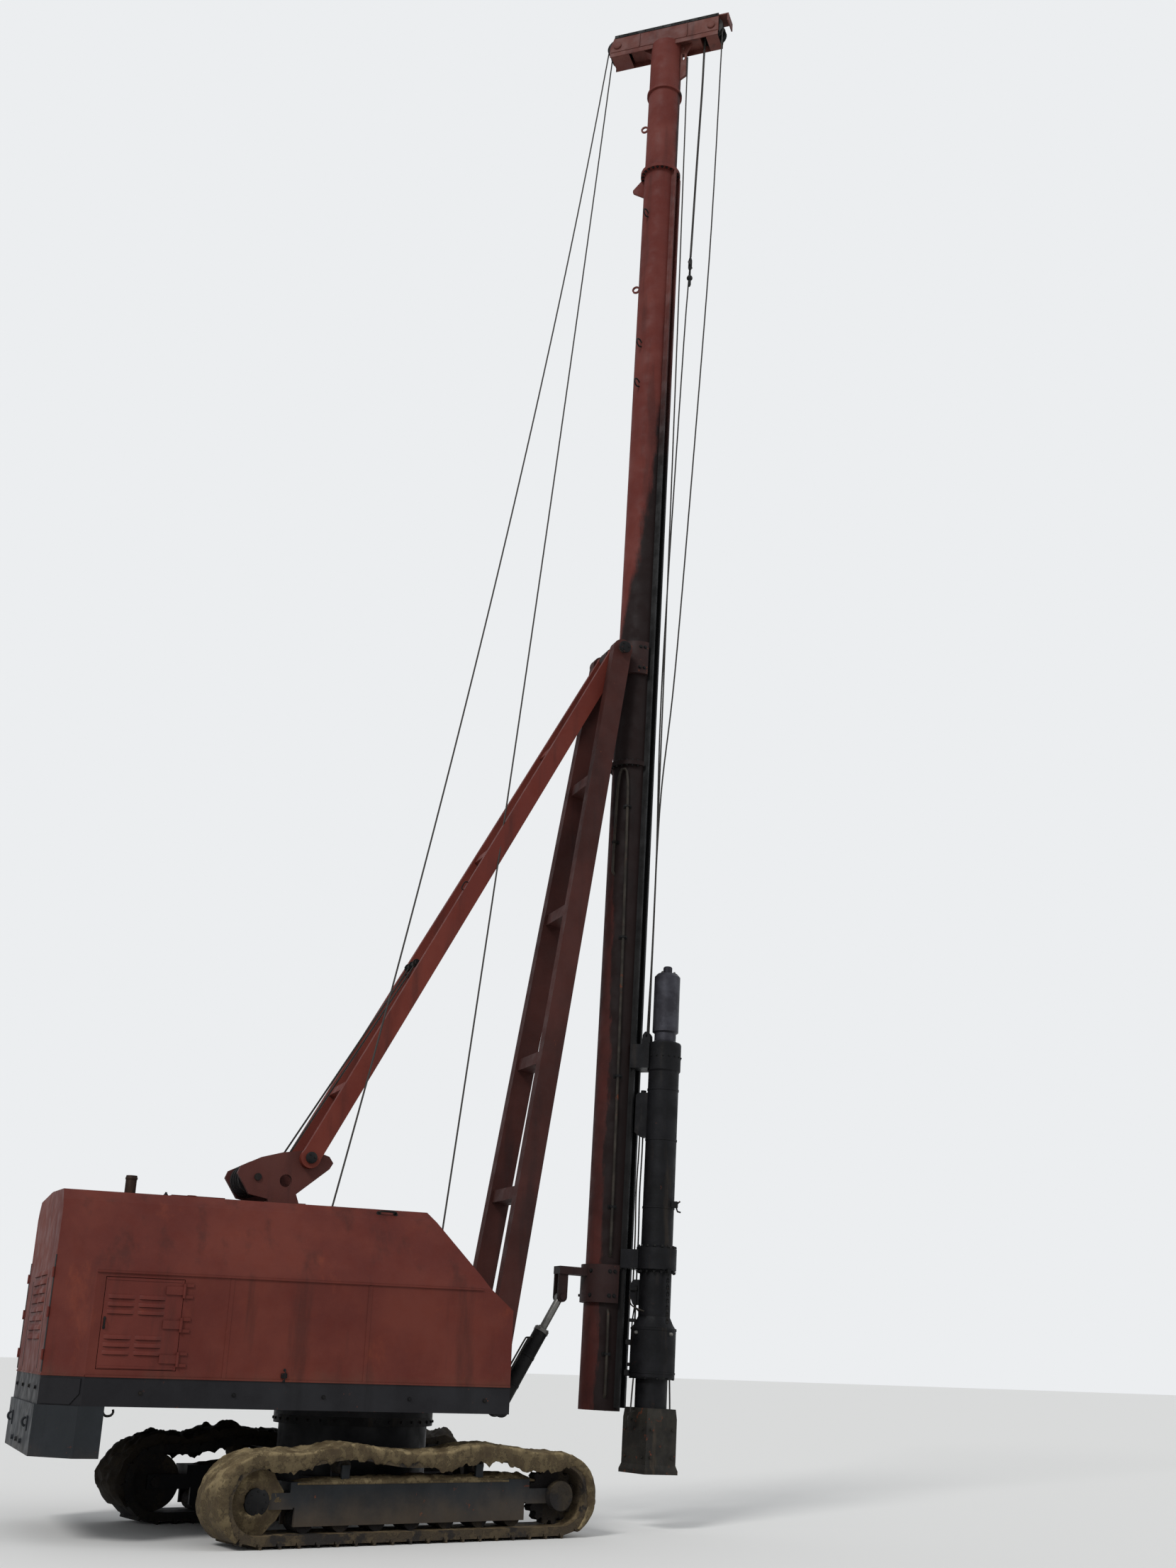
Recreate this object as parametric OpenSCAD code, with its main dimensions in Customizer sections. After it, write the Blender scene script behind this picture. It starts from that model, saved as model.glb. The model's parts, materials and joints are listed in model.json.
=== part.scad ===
// Pile driver rig: a tracked base machine with a swivelling tubular leader
// on a boom and a backstay, and an open-top diesel hammer on the leader's rails.
// Millimetres. The origin is at the ground under the middle of the overall box, +X towards
// the leader and +Z up. The pieces are drawn about the slew axis, and centred() moves them.

/* [Tracks] */
// Length over the tracks
track_l = 4400; // [3800:50:5200]
// Height of a track at its ends, over the shoe ribs
track_h = 840; // [760:10:960]
// Width over both tracks
track_w = 3160; // [2900:20:3600]
// Width of one track shoe
shoe_w = 560; // [440:20:700]
// Number of shoes on one track
shoe_count = 46; // [36:2:54]
// Height of the rib on a shoe
shoe_rib_h = 30; // [16:2:40]
// Thickness of a track plate with its chain
belt_t = 90; // [70:5:110]
// Rise of the top run over its carrier rollers
top_rise = 80; // [40:5:100]
// Angle between the tracks and the house as parked
track_yaw = 12; // [0:1:20]

/* [Revolving frame] */
// Width of the frame and house
house_w = 3100; // [2900:20:3300]
// Distance from the slew axis to the front wall
front_x = 1260; // [1150:10:1400]
// Distance from the slew axis to the rear wall
rear_x = 3540; // [3300:20:3700]
// Chamfer of the rear corners
corner_c = 370; // [250:10:450]
// Height of the frame's underside
deck_z = 1250; // [1200:10:1350]
// Depth of the frame
deck_h = 270; // [200:10:320]
// Height of the counterweight's underside
weight_z = 780; // [700:10:900]
// Length of the counterweight behind the tracks
weight_l = 620; // [500:10:640]
// Radius of the slewing ring
ring_r = 880; // [800:10:980]

/* [House] */
// Height of the drip edge along the sides
drip_z = 2520; // [2400:10:2600]
// Height of the roof's middle
roof_z = 3360; // [3250:10:3460]
// Half width of the flat part of the roof
roof_y = 1010; // [900:10:1100]
// Height of the front wall
front_h = 2300; // [2150:10:2400]
// Thickness of the house walls and doors
wall_t = 45; // [30:1:60]

/* [Boom and backstay] */
// Width of a boom chord, seen from the side
chord_w = 260; // [200:10:320]
// Thickness of a boom chord
chord_t = 140; // [100:10:160]
// Distance between the boom chords at the foot
boom_foot_gap = 1000; // [900:10:1200]
// Distance between the boom chords at the head
boom_head_gap = 680; // [660:10:760]
// Width of a backstay chord, seen from the side
stay_w = 210; // [160:10:240]
// Thickness of a backstay chord
stay_t = 90; // [70:5:100]
// Radius of the head pin
pin_r = 60; // [45:1:70]

/* [Leader] */
// Forward lean of the leader as parked, in degrees
lean = 1.6; // [0.5:0.1:3]
// Turn of the leader about its own axis as parked, in degrees
leader_turn = -43; // [-44:1:-30]
// Distance from the slew axis to the leader's axis, at the ground
leader_x = 2965; // [2900:5:3050]
// Radius of the leader tube
tube_r = 250; // [230:5:270]
// Wall of the leader tube
tube_wall = 14; // [8:1:25]
// Height of the leader's lower end
foot_z = 1270; // [1150:10:1400]
// Height of the head beam's underside
head_z = 22020; // [20800:20:22300]
// Height of the head beam
head_h = 350; // [330:5:400]
// Radius of the rope sheaves in the head beam
sheave_r = 185; // [160:5:190]
// Distance from the leader's axis back to the head pin
pin_back = 390; // [380:2:420]
// Height of the head pin along the leader
pin_z = 10985; // [10500:5:11200]
// Distance between the guide rails
rail_gap = 220; // [200:10:240]
// Distance from the leader's axis to the rails' front
rail_x = 290; // [285:1:310]

/* [Strut] */
// Radius of the strut's barrel
barrel_r = 85; // [70:1:100]
// Radius of the strut's rod
rod_r = 45; // [35:1:50]

/* [Hammer] */
// Distance from the leader's axis to the hammer's axis
hammer_x = 640; // [620:5:700]
// Radius of the ram
ram_r = 165; // [150:1:175]
// Wall of the hammer's cylinder
cylinder_wall = 27; // [20:1:35]
// Height of the pile helmet's underside
helmet_z = 620; // [560:10:700]
// Width of the square pile that the helmet takes
pile_w = 300; // [250:10:310]
// Turn of the helmet about the hammer's axis, in degrees
helmet_turn = -34; // [-45:1:45]

/* [Hidden] */

$fn = 64;

// Clearance of pieces that seat on one another, and of running fits
seat = 0.3;
fit = 0.5;
// Clearance of the hammer's guides on the rails
guide_fit = 0.8;
// Clearance of pieces that move past one another
clear = 6;

// Track geometry, in the track's own plane: x forward, z up from the ground
axle_z = track_h / 2;
belt_in = axle_z - shoe_rib_h - belt_t;
plate_r = axle_z - shoe_rib_h;
run = track_l / 2 - axle_z;
path_l = 4 * run + 2 * PI * plate_r;
shoe_y = (track_w - shoe_w) / 2;
// Carrier rollers along the top run, and half the length of the hump over each
carriers = [-800, 800];
hump_half = 700;
frame_half = 165;
frame_side_t = 30;

deck_top = deck_z + deck_h;
side_y = house_w / 2;
rear_flat_y = side_y - corner_c;
crease_x = rear_x - corner_c;
slope_foot_x = front_x - 270;
slope_top_x = front_x - 890;
door_x0 = -130;
door_x1 = 680;
hatch_x0 = -3080;
hatch_x1 = -2300;
hatch_z0 = deck_top + 70;
hatch_z1 = drip_z - 60;
door_travel = 780;
// Air slots of the engine door: lower edge of each group, then rows and columns
louvre_groups = [1725, 2105];
louvre_w = 250;
louvre_h = 18;
louvre_step = 72;
// Air slots of the rear wall
grille_half = 560;
grille_z0 = deck_top + 330;
// Drip strip along the sides
drip_reach = 16;
// Holes that the ropes leave the house by: from the slew axis, side, radius
roof_rope_at = [-630, -720, 55];
slope_rope_at = [654, -720, 60];
// How far the counterweight stands behind the house
weight_back = 25;

// Head beam, with a hood in front that keeps the ropes on the sheaves
head_rear = 930;
head_front = 905;
head_half = 165;
hood_front = 1060;
hood_half = 130;
sheaves = [["rear", -800], ["front", 785]]; // name, distance of the pin from the leader's axis
sheave_z = head_z + head_h - sheave_r - 35;

// A point of the leader's own upright frame, carried to where the leader leans
function lean_to(p) = [
    leader_x + p[0] * cos(lean) + p[2] * sin(lean), p[1],
    p[2] * cos(lean) - p[0] * sin(lean)
];
head_pin_at = lean_to([-pin_back, 0, pin_z]);
strut_eye_local = [-585, 0, 2515];
strut_eye_at = lean_to(strut_eye_local);
boom_foot_at = [front_x + 160, 0, deck_z + 110];
stay_foot_at = [-850, 0, 3880];
strut_foot_at = [front_x + 460, 0, deck_z + 10];
strut_len = norm(strut_eye_at - strut_foot_at);
strut_angle = atan2(strut_eye_at[2] - strut_foot_at[2], strut_eye_at[0] - strut_foot_at[0]);

// Hammer heights
helmet_h = 710;
anvil_z = helmet_z + helmet_h;
body_z = anvil_z + 320;
bore_r = ram_r + fit;
barrel_out = bore_r + cylinder_wall;
ram_foot_z = 2300;
cylinder_top = 5650;
ram_top = 6550;

// The overall box is centred on the origin from back to front
back_x = -rear_x - weight_back;
front_most = leader_x + (hood_front * cos(leader_turn) - hood_half * sin(leader_turn)) * cos(lean)
    + (head_z + head_h) * sin(lean);
mid_x = (front_most + back_x) / 2;

module centred() translate([-mid_x, 0, 0]) children();
module leaned() translate([leader_x, 0, 0]) rotate([0, lean, 0]) children();
module turned() leaned() rotate([0, 0, leader_turn]) children();
module yawed() rotate([0, 0, track_yaw]) children();

// A bar of rectangular section from one point to another, both in a plane of constant y
module bar(a, b, w, t, ya = 0, yb = 0) {
    d = b - a;
    l = norm([d[0], d[2]]);
    translate([a[0], ya, a[2]])
        rotate([0, -atan2(d[2], d[0]), 0])
            rotate([0, 0, atan2(yb - ya, l)])
                translate([0, -t / 2, -w / 2])
                    cube([norm([l, yb - ya]), t, w]);
}

// A cylinder along y
module pin_y(r, y0, y1) translate([0, y0, 0]) rotate([-90, 0, 0]) cylinder(r = r, h = y1 - y0);

// Track loop

function hump_over(d) = abs(d) < hump_half ? top_rise * pow(cos(90 * d / hump_half), 2) : 0;
function hump(x) = hump_over(x - carriers[0]) + hump_over(x - carriers[1]);

// The point at distance s along the loop, raised outwards by off from the plates' face
function loop_at(s, off) =
    s < 2 * run ? [-run + s, axle_z - plate_r - off]
    : s < 2 * run + PI * plate_r
        ? let (a = -90 + (s - 2 * run) / plate_r * 180 / PI)
          [run + (plate_r + off) * cos(a), axle_z + (plate_r + off) * sin(a)]
    : s < 4 * run + PI * plate_r
        ? let (x = run - (s - 2 * run - PI * plate_r)) [x, axle_z + plate_r + off + hump(x)]
    : let (a = 90 + (s - 4 * run - PI * plate_r) / plate_r * 180 / PI)
      [-run + (plate_r + off) * cos(a), axle_z + (plate_r + off) * sin(a)];

// One shoe's outline: share of the pitch, height over the plate
shoe_profile = [
    [0.02, -24], [0.04, 0], [0.10, 0], [0.13, shoe_rib_h], [0.21, shoe_rib_h],
    [0.24, 0], [0.94, 0], [0.98, -24]
];

module track_loop() {
    pitch = path_l / shoe_count;
    outer = [for (i = [0:shoe_count - 1]) for (p = shoe_profile) loop_at((i + p[0]) * pitch, p[1])];
    inner = [for (i = [0:4 * shoe_count - 1]) loop_at((i + 0.5) * pitch / 4, -belt_t)];
    rotate([90, 0, 0])
        translate([0, 0, -shoe_w / 2])
            linear_extrude(shoe_w)
                difference() {
                    polygon(outer);
                    polygon(inner);
                }
}

module track_side_frame() {
    box_z0 = axle_z - 60;
    box_z1 = axle_z + 170;
    box_half = run - belt_in - 60;
    difference() {
        union() {
            translate([-box_half, -frame_half, box_z0])
                cube([2 * box_half, 2 * frame_half, box_z1 - box_z0]);
            for (side = [-1, 1]) {
                translate([-box_half + 60, side > 0 ? frame_half - frame_side_t : -frame_half, axle_z - 235])
                    cube([2 * box_half - 120, frame_side_t, 180]);
                for (end = [-1, 1])
                    translate([end > 0 ? box_half - 40 : -run - 90,
                               side > 0 ? frame_half - frame_side_t : -frame_half, axle_z - 75])
                        cube([run + 90 - box_half + 40, frame_side_t, 150]);
                // Stands of the carrier rollers
                for (x = carriers)
                    translate([x - 45, side > 0 ? 95 : -125, box_z1])
                        cube([90, 30, 150]);
            }
        }
        for (end = [-1, 1])
            translate([end * run, 0, axle_z])
                pin_y(56, -frame_half - 10, frame_half + 10);
    }
}

module roller(r, half, axle_half) {
    rotate([-90, 0, 0]) {
        translate([0, 0, -half]) cylinder(r = r, h = 2 * half);
        translate([0, 0, -axle_half]) cylinder(r = 34, h = 2 * axle_half);
    }
}

module wheels_of_track(side) {
    wheel_half = 110;
    inner_z = axle_z - belt_in;
    wheel_r = belt_in - 1;
    // Idler at the rear, with a rim between two flanges
    translate([-run, 0, axle_z]) {
        pin_y(wheel_r, -wheel_half, wheel_half);
        pin_y(55.7, -frame_half - 30, frame_half + 30);
    }
    // Toothed drive wheel at the front, with its drive case outside
    teeth = 15;
    translate([run, 0, axle_z]) {
        rotate([90, 0, 0])
            translate([0, 0, -60])
                linear_extrude(120)
                    polygon([for (i = [0:teeth - 1]) for (p = [[0, 0.86], [0.3, 0.86], [0.45, 0.999], [0.85, 0.999]])
                        wheel_r * p[1] * [cos((i + p[0]) * 360 / teeth), sin((i + p[0]) * 360 / teeth)]]);
        pin_y(55.7, -frame_half - 30, frame_half + 30);
        pin_y(150, side > 0 ? frame_half + 1 : -frame_half - 91, side > 0 ? frame_half + 91 : -frame_half - 1);
    }
    // Track rollers under the frame, then the carrier rollers above it
    for (x = [-1230:410:1230])
        translate([x, 0, inner_z + 105 + seat])
            roller(105, frame_half - frame_side_t - 8, frame_half - frame_side_t - seat);
    for (x = carriers)
        translate([x, 0, axle_z + belt_in + top_rise - 75 - seat])
            roller(75, 85, 95 - seat);
}

module track_right() color([0.30, 0.25, 0.18]) centred() yawed() translate([0, -shoe_y, 0]) track_loop();
module track_left() color([0.30, 0.25, 0.18]) centred() yawed() translate([0, shoe_y, 0]) track_loop();
module track_frame_right() color([0.16, 0.17, 0.19]) centred() yawed() translate([0, -shoe_y, 0]) track_side_frame();
module track_frame_left() color([0.16, 0.17, 0.19]) centred() yawed() translate([0, shoe_y, 0]) track_side_frame();
module track_wheels()
    color([0.28, 0.24, 0.19]) centred()
        yawed()
            for (side = [-1, 1])
                translate([0, side * shoe_y, 0]) wheels_of_track(side);

module carbody() {
    beam_z = axle_z - 40;
    beam_h = 200;
    reach = shoe_y - frame_half;
    drum_r = ring_r - 60;
    color([0.12, 0.13, 0.14]) centred()
        yawed()
            difference() {
                union() {
                    for (x = [-760, 520])
                        translate([x, -reach, beam_z]) cube([240, 2 * reach, beam_h]);
                    translate([0, 0, beam_z]) cylinder(r = drum_r, h = deck_z - 170 - beam_z - seat);
                    for (end = [-1, 1])
                        translate([end > 0 ? 500 : -1000, -130, beam_z + 60]) cube([500, 260, 60]);
                }
                for (end = [-1, 1])
                    translate([end * 930, 0, beam_z]) cylinder(r = 30, h = beam_h);
            }
}

module slew_ring()
    color([0.10, 0.10, 0.11]) centred()
        translate([0, 0, deck_z - 170]) cylinder(r = ring_r, h = 90 - seat);

// Revolving frame

module plan(t, x_front) {
    polygon([
        [-crease_x, t - side_y], [t - rear_x, -rear_flat_y], [t - rear_x, rear_flat_y],
        [-crease_x, side_y - t], [x_front, side_y - t], [x_front, t - side_y]
    ]);
}

module deck() {
    rail_t = 160;
    plate_t = 90;
    color([0.18, 0.19, 0.22]) centred()
        difference() {
            union() {
                translate([0, 0, deck_z]) linear_extrude(deck_h) plan(0, front_x);
                // Upper race of the slewing ring
                translate([0, 0, deck_z - 80]) cylinder(r = ring_r, h = 90);
                // Lugs of the boom's feet
                for (side = [-1, 1]) for (y = [-1, 1])
                    translate([front_x - 10, side * boom_foot_gap / 2 + y * (chord_t / 2 + 18) - 14, deck_z])
                        cube([boom_foot_at[0] - front_x + 100, 28, 220]);
            }
            // Bays between the rails, open below
            for (bay = [[-rear_x + 250, -ring_r - 90], [ring_r + 90, front_x - rail_t]])
                for (y = [[-side_y + rail_t, -300], [300, side_y - rail_t]])
                    translate([bay[0] + (bay[0] < -3000 ? 200 : 0), y[0], deck_z - 1])
                        cube([bay[1] - bay[0] - (bay[0] < -3000 ? 200 : 0), y[1] - y[0], deck_h - plate_t]);
            for (side = [-1, 1])
                translate([boom_foot_at[0], side * boom_foot_gap / 2, boom_foot_at[2]])
                    pin_y(45, -chord_t, chord_t);
        }
}

module counterweight()
    color([0.16, 0.19, 0.22]) centred()
        translate([0, 0, weight_z])
            linear_extrude(deck_z - weight_z)
                intersection() {
                    plan(-weight_back, front_x);
                    translate([back_x, -side_y]) square([weight_l, house_w]);
                }

// House shell: a section across, a side view and a plan, all drawn inwards by t

function section_points(t) = [
    [side_y - t, 0], [side_y - t, drip_z - 0.3 * t], [side_y - 60 - t, drip_z + 130 - 0.4 * t],
    [roof_y + 120 - 0.9 * t, roof_z - 150 - 0.6 * t], [roof_y - 0.5 * t, roof_z - 40 - 0.9 * t],
    [0, roof_z - t]
];

module section(t, x0, x1)
    translate([x0, 0, 0])
        rotate([90, 0, 90])
            linear_extrude(x1 - x0)
                polygon(concat(section_points(t), [for (i = [4:-1:0]) [-section_points(t)[i][0], section_points(t)[i][1]]]));

function front_line(t) = let (over = roof_z + 200, k = (slope_foot_x - slope_top_x) / (roof_z - 20 - drip_z)) [
    [front_x - t, deck_top - 10], [front_x - t, front_h - 0.4 * t], [slope_foot_x - 0.9 * t, drip_z - 0.6 * t],
    [slope_foot_x - 0.9 * t - k * (over - drip_z), over - 0.6 * t]
];

module front_zone(t, x_far)
    rotate([90, 0, 0])
        translate([0, 0, -side_y - 200])
            linear_extrude(2 * side_y + 400)
                polygon(concat(front_line(t), [[x_far, roof_z + 200], [x_far, deck_top - 10]]));

module hull_form(t, z0 = deck_top)
    intersection() {
        section(t, -rear_x - 50, front_x + 50);
        translate([0, 0, z0]) linear_extrude(roof_z) plan(t, front_x + 50);
    }

module shell()
    difference() {
        hull_form(0);
        hull_form(wall_t, deck_top - 1);
    }

module house_rear()
    color([0.42, 0.24, 0.20]) centred()
        difference() {
            intersection() {
                shell();
                translate([-rear_x - 50, -side_y - 50, deck_top]) cube([rear_x - crease_x + 50, house_w + 100, 3000]);
            }
            // Two columns of air slots in front of the radiator
            for (side = [-1, 1])
                for (row = [0:7])
                    translate([-rear_x - 10, side > 0 ? 40 : -grille_half, grille_z0 + row * 90])
                        cube([wall_t + 20, grille_half - 40, 26]);
        }

// The long walls between the rear corners and the front, for one side
module side_wall(side)
    difference() {
        intersection() {
            shell();
            translate([-crease_x, side > 0 ? roof_y : -side_y - 50, deck_top])
                cube([crease_x + front_x + 50, side_y + 50 - roof_y, 3000]);
        }
        front_zone(wall_t, front_x + 300);
    }

// Strip that throws the rain off the side wall, from x0 to x1
module drip_strip(side, x0, x1)
    translate([x0, side > 0 ? side_y - 5 : -side_y - drip_reach, drip_z - 24])
        cube([x1 - x0, drip_reach + 5, 20]);

// Hinges of the engine door: the pins stand outside the wall at the hatch's front edge
hinge_out = 16;
hinge_heights = [hatch_z0 + 70, (hatch_z0 + hatch_z1) / 2 - 40, hatch_z1 - 150];

module house_right()
    color([0.40, 0.23, 0.19]) centred() {
        difference() {
            side_wall(-1);
            translate([hatch_x0, -side_y - 60, hatch_z0]) cube([hatch_x1 - hatch_x0, 200, hatch_z1 - hatch_z0]);
        }
        drip_strip(-1, -crease_x, slope_foot_x - 2 * wall_t);
        for (z = hinge_heights)
            translate([hatch_x1, -side_y - hinge_out, z]) {
                cylinder(r = 9, h = 80);
                for (k = [[-30, 30], [80, 30]]) {
                    translate([0, 0, k[0]]) cylinder(r = 15, h = k[1]);
                    translate([0, 0, k[0]]) cube([90, hinge_out + 5, k[1]]);
                }
            }
    }

module house_left()
    color([0.40, 0.23, 0.19]) centred() {
        difference() {
            side_wall(1);
            translate([door_x0 + 40, roof_y + 60, deck_top + 90])
                cube([door_x1 - door_x0 - 80, 900, roof_z - deck_top - 260]);
        }
        drip_strip(1, -crease_x, door_x0 - door_travel - 40);
        // Rail that the sliding door runs on
        translate([door_x0 - door_travel - 20, side_y - 10, deck_top + 25])
            cube([door_x1 - door_x0 + door_travel + 40, wall_t + 30, 35 - seat]);
    }

module house_front()
    color([0.40, 0.23, 0.19]) centred()
        difference() {
            intersection() {
                hull_form(0);
                front_zone(wall_t, front_x + 300);
            }
            front_zone(0, front_x + 400);
            windscreen(0);
            translate([slope_rope_at[0], slope_rope_at[1], drip_z]) cylinder(r = slope_rope_at[2], h = 2000);
        }

// Windscreen: lower pane in the front wall, then the upper pane in the slope
pane_y0 = 230;
lower_pane = [side_y - 150 - pane_y0, front_h - 70 - 400, 400]; // width, lower edge, height
upper_pane = [roof_y + 40 - pane_y0, drip_z + 80, 600];

module windscreen(inset) {
    translate([front_x - 200, pane_y0 + inset, lower_pane[1] + inset])
        cube([400, lower_pane[0] - 2 * inset, lower_pane[2] - 2 * inset]);
    translate([slope_foot_x - 480, pane_y0 + inset, upper_pane[1] + inset])
        cube([800, upper_pane[0] - 2 * inset, upper_pane[2] - 2 * inset]);
}

module house_roof()
    color([0.40, 0.23, 0.19]) centred()
        difference() {
            intersection() {
                shell();
                translate([-crease_x, -roof_y, drip_z]) cube([crease_x + front_x, 2 * roof_y, 2000]);
            }
            front_zone(wall_t, front_x + 300);
            translate([roof_rope_at[0], roof_rope_at[1], drip_z]) cylinder(r = roof_rope_at[2], h = 2000);
        }

module cab_partition()
    color([0.35, 0.34, 0.32]) centred()
        difference() {
            intersection() {
                hull_form(wall_t + 3 * seat);
                union() {
                    translate([-260, 120, deck_top]) cube([40, side_y, 3000]);
                    translate([-260, 120, deck_top]) cube([3000, 40, 3000]);
                }
            }
            front_zone(wall_t + 3 * seat, front_x + 300);
        }

module cab_glass()
    color([0.55, 0.68, 0.72, 0.35]) centred()
        intersection() {
            difference() {
                hull_form(0);
                front_zone(14, front_x + 400);
            }
            front_zone(30, front_x + 300);
            windscreen(0.4);
        }

// Sliding cab door, bent like the wall and hung outside it
module door_band(inner, outer)
    intersection() {
        difference() {
            section(-outer, door_x0, door_x1);
            section(-inner, door_x0 - 10, door_x1 + 10);
        }
        translate([door_x0, roof_y + 30, deck_top + 60]) cube([door_x1 - door_x0, 900, roof_z - deck_top - 210]);
    }

door_panes = [[150, 1980, 500], [150, 2700, 380]]; // x margin, lower edge, height

module cab_door()
    color([0.40, 0.23, 0.19]) centred()
        difference() {
            door_band(clear, clear + wall_t);
            for (p = door_panes)
                translate([door_x0 + p[0], roof_y, p[1]]) cube([door_x1 - door_x0 - 2 * p[0], 900, p[2]]);
        }

module door_glass()
    color([0.55, 0.68, 0.72, 0.35]) centred()
        for (p = door_panes)
            intersection() {
                door_band(clear + 16, clear + 28);
                translate([door_x0 + p[0] + 0.4, roof_y, p[1] + 0.4])
                    cube([door_x1 - door_x0 - 2 * p[0] - 0.8, 900, p[2] - 0.8]);
            }

module engine_door()
    color([0.44, 0.25, 0.21]) centred()
        difference() {
            union() {
                translate([hatch_x0 + clear, -side_y, hatch_z0 + clear])
                    cube([hatch_x1 - hatch_x0 - 2 * clear, wall_t, hatch_z1 - hatch_z0 - 2 * clear]);
                for (z = hinge_heights)
                    translate([hatch_x1, -side_y - hinge_out, z + seat]) {
                        cylinder(r = 15, h = 80 - 2 * seat);
                        translate([-180, 0, 0]) cube([180 - clear - 2, hinge_out + 5, 80 - 2 * seat]);
                        translate([-20, 0, 0]) cube([20, hinge_out - 4, 80 - 2 * seat]);
                    }
            }
            for (z = hinge_heights)
                translate([hatch_x1, -side_y - hinge_out, z - 10]) cylinder(r = 9 + fit, h = 100);
            for (z = louvre_groups) for (row = [0:2]) for (column = [0, 1])
                translate([hatch_x0 + 50 + column * (louvre_w + 50), -side_y - 10, z + row * louvre_step])
                    cube([louvre_w, wall_t + 20, louvre_h]);
        }

seat_at = [180, 620];
seat_w = 480;
seat_h = 330;
cushion_t = 110;

module operator_seat()
    color([0.10, 0.10, 0.11]) centred()
        translate([seat_at[0], seat_at[1], deck_top]) {
            cylinder(r = 90, h = seat_h);
            translate([-seat_w / 2, -seat_w / 2, seat_h]) cube([seat_w, seat_w, cushion_t]);
            translate([-seat_w / 2, -seat_w / 2, seat_h + cushion_t]) cube([cushion_t, seat_w, 520]);
        }

stand_x = front_x - 600;
stand_w = 420;
stand_h = 620;
lever_step = 80;

module control_stand()
    color([0.20, 0.21, 0.22]) centred()
        translate([stand_x, seat_at[1] - 200, deck_top]) {
            cube([200, stand_w, stand_h]);
            for (y = [lever_step / 2:lever_step:stand_w - lever_step / 2])
                translate([lever_step, y, stand_h]) cylinder(r = 12, h = 260);
        }

engine_l = rear_x - 2040;
engine_w = 0.4 * house_w;
engine_h = 950;

module engine_block()
    color([0.24, 0.28, 0.26]) centred()
        translate([-rear_x + 540, -engine_w / 2, deck_top]) cube([engine_l, engine_w, engine_h]);

winch_l = 1000;
winch_w = 1080;
winch_h = 800;

module winch_block()
    color([0.22, 0.22, 0.24]) centred()
        translate([-winch_l - 300, -side_y + 550, deck_top]) cube([winch_l, winch_w, winch_h]);

module exhaust_pipe()
    color([0.14, 0.12, 0.11]) centred()
        translate([-2730, 0, roof_z + seat])
            difference() {
                union() {
                    cylinder(r = 60, h = 230);
                    cylinder(r = 95, h = 12);
                }
                translate([0, 0, 60]) cylinder(r = 52, h = 300);
            }

// Gantry on the roof: two cheeks that hold the backstay's foot in front and the rope sheaves behind
gantry_y = 330;
gantry_t = 60;
gantry_foot_z = roof_z - 40 * (gantry_y - 70) / roof_y + seat;
gantry_sheave_r = 190;
gantry_sheave_at = [stay_foot_at[0] - 560, 0, roof_z + gantry_sheave_r + 90];
stay_foot_y = 420;
stay_head_y = 185;

// Outline of a cheek about the backstay's pin, from the roof's rear round to the front
function cheek() = let (z = gantry_foot_z - stay_foot_at[2]) [
    [-400, z], [-60, z], [-110, -400], [250, -100], [290, -30], [240, 40], [110, 80], [-40, 90],
    [-300, 50], [-540, -20], [-760, -130], [-790, -210], [-640, -430], [-430, -470]
];

module gantry()
    color([0.30, 0.17, 0.16]) centred()
        difference() {
            union() {
                for (side = [-1, 1]) {
                    translate([stay_foot_at[0], side * gantry_y + gantry_t / 2, stay_foot_at[2]])
                        rotate([90, 0, 0])
                            linear_extrude(gantry_t)
                                difference() {
                                    polygon(cheek());
                                    translate([-240, -260]) circle(r = 70);
                                }
                    translate([stay_foot_at[0] - 460, side * gantry_y - 70, gantry_foot_z]) cube([460, 140, 30]);
                }
                // Tubes that join the cheeks
                for (p = [[-240, -80], [-250, -440], [200, -60]])
                    translate([stay_foot_at[0] + p[0], 0, stay_foot_at[2] + p[1]]) pin_y(38, -gantry_y, gantry_y);
            }
            translate(stay_foot_at) pin_y(45, -600, 600);
            translate(gantry_sheave_at) pin_y(40, -600, 600);
        }

// A grooved rope sheave of thickness t about z, with a bore of radius bore
module sheave(r, t, bore)
    rotate_extrude()
        polygon([[bore, 0], [r, 0], [r, t * 0.12], [r * 0.87, t * 0.4], [r * 0.87, t * 0.6],
                 [r, t * 0.88], [r, t], [bore, t]]);

module gantry_sheaves()
    color([0.14, 0.13, 0.14]) centred()
        translate(gantry_sheave_at) {
            pin_y(40 - seat, -gantry_y - 50, gantry_y + 50);
            for (y = [-230, -100, 30, 160])
                translate([0, y, 0]) rotate([-90, 0, 0]) sheave(gantry_sheave_r, 70, 30);
        }

// Boom: two chords joined by cross plates
boom_plates = [0.07, 0.24, 0.41, 0.61, 0.80]; // share of the length up the boom
stay_plates = [0.12, 0.34, 0.56, 0.78];

module ladder_side(foot, head, w, t, ya, yb, t_foot, t_head) {
    bar(foot, head, w, t, ya, yb);
    translate([foot[0], ya, foot[2]]) pin_y(w / 2 + 8, -t_foot / 2, t_foot / 2);
    translate([head[0], yb, head[2]]) pin_y(w / 2 + 8, -t_head / 2, t_head / 2);
}

module cross_plates(foot, head, w, ya, yb, places, h)
    for (s = places) {
        at = foot + s * (head - foot);
        y = ya + s * (yb - ya);
        d = head - foot;
        translate([at[0], 0, at[2]])
            rotate([0, 90 - atan2(d[2], d[0]), 0])
                translate([-w * 0.36, -y, -h / 2]) cube([w * 0.72, 2 * y, h]);
    }

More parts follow.
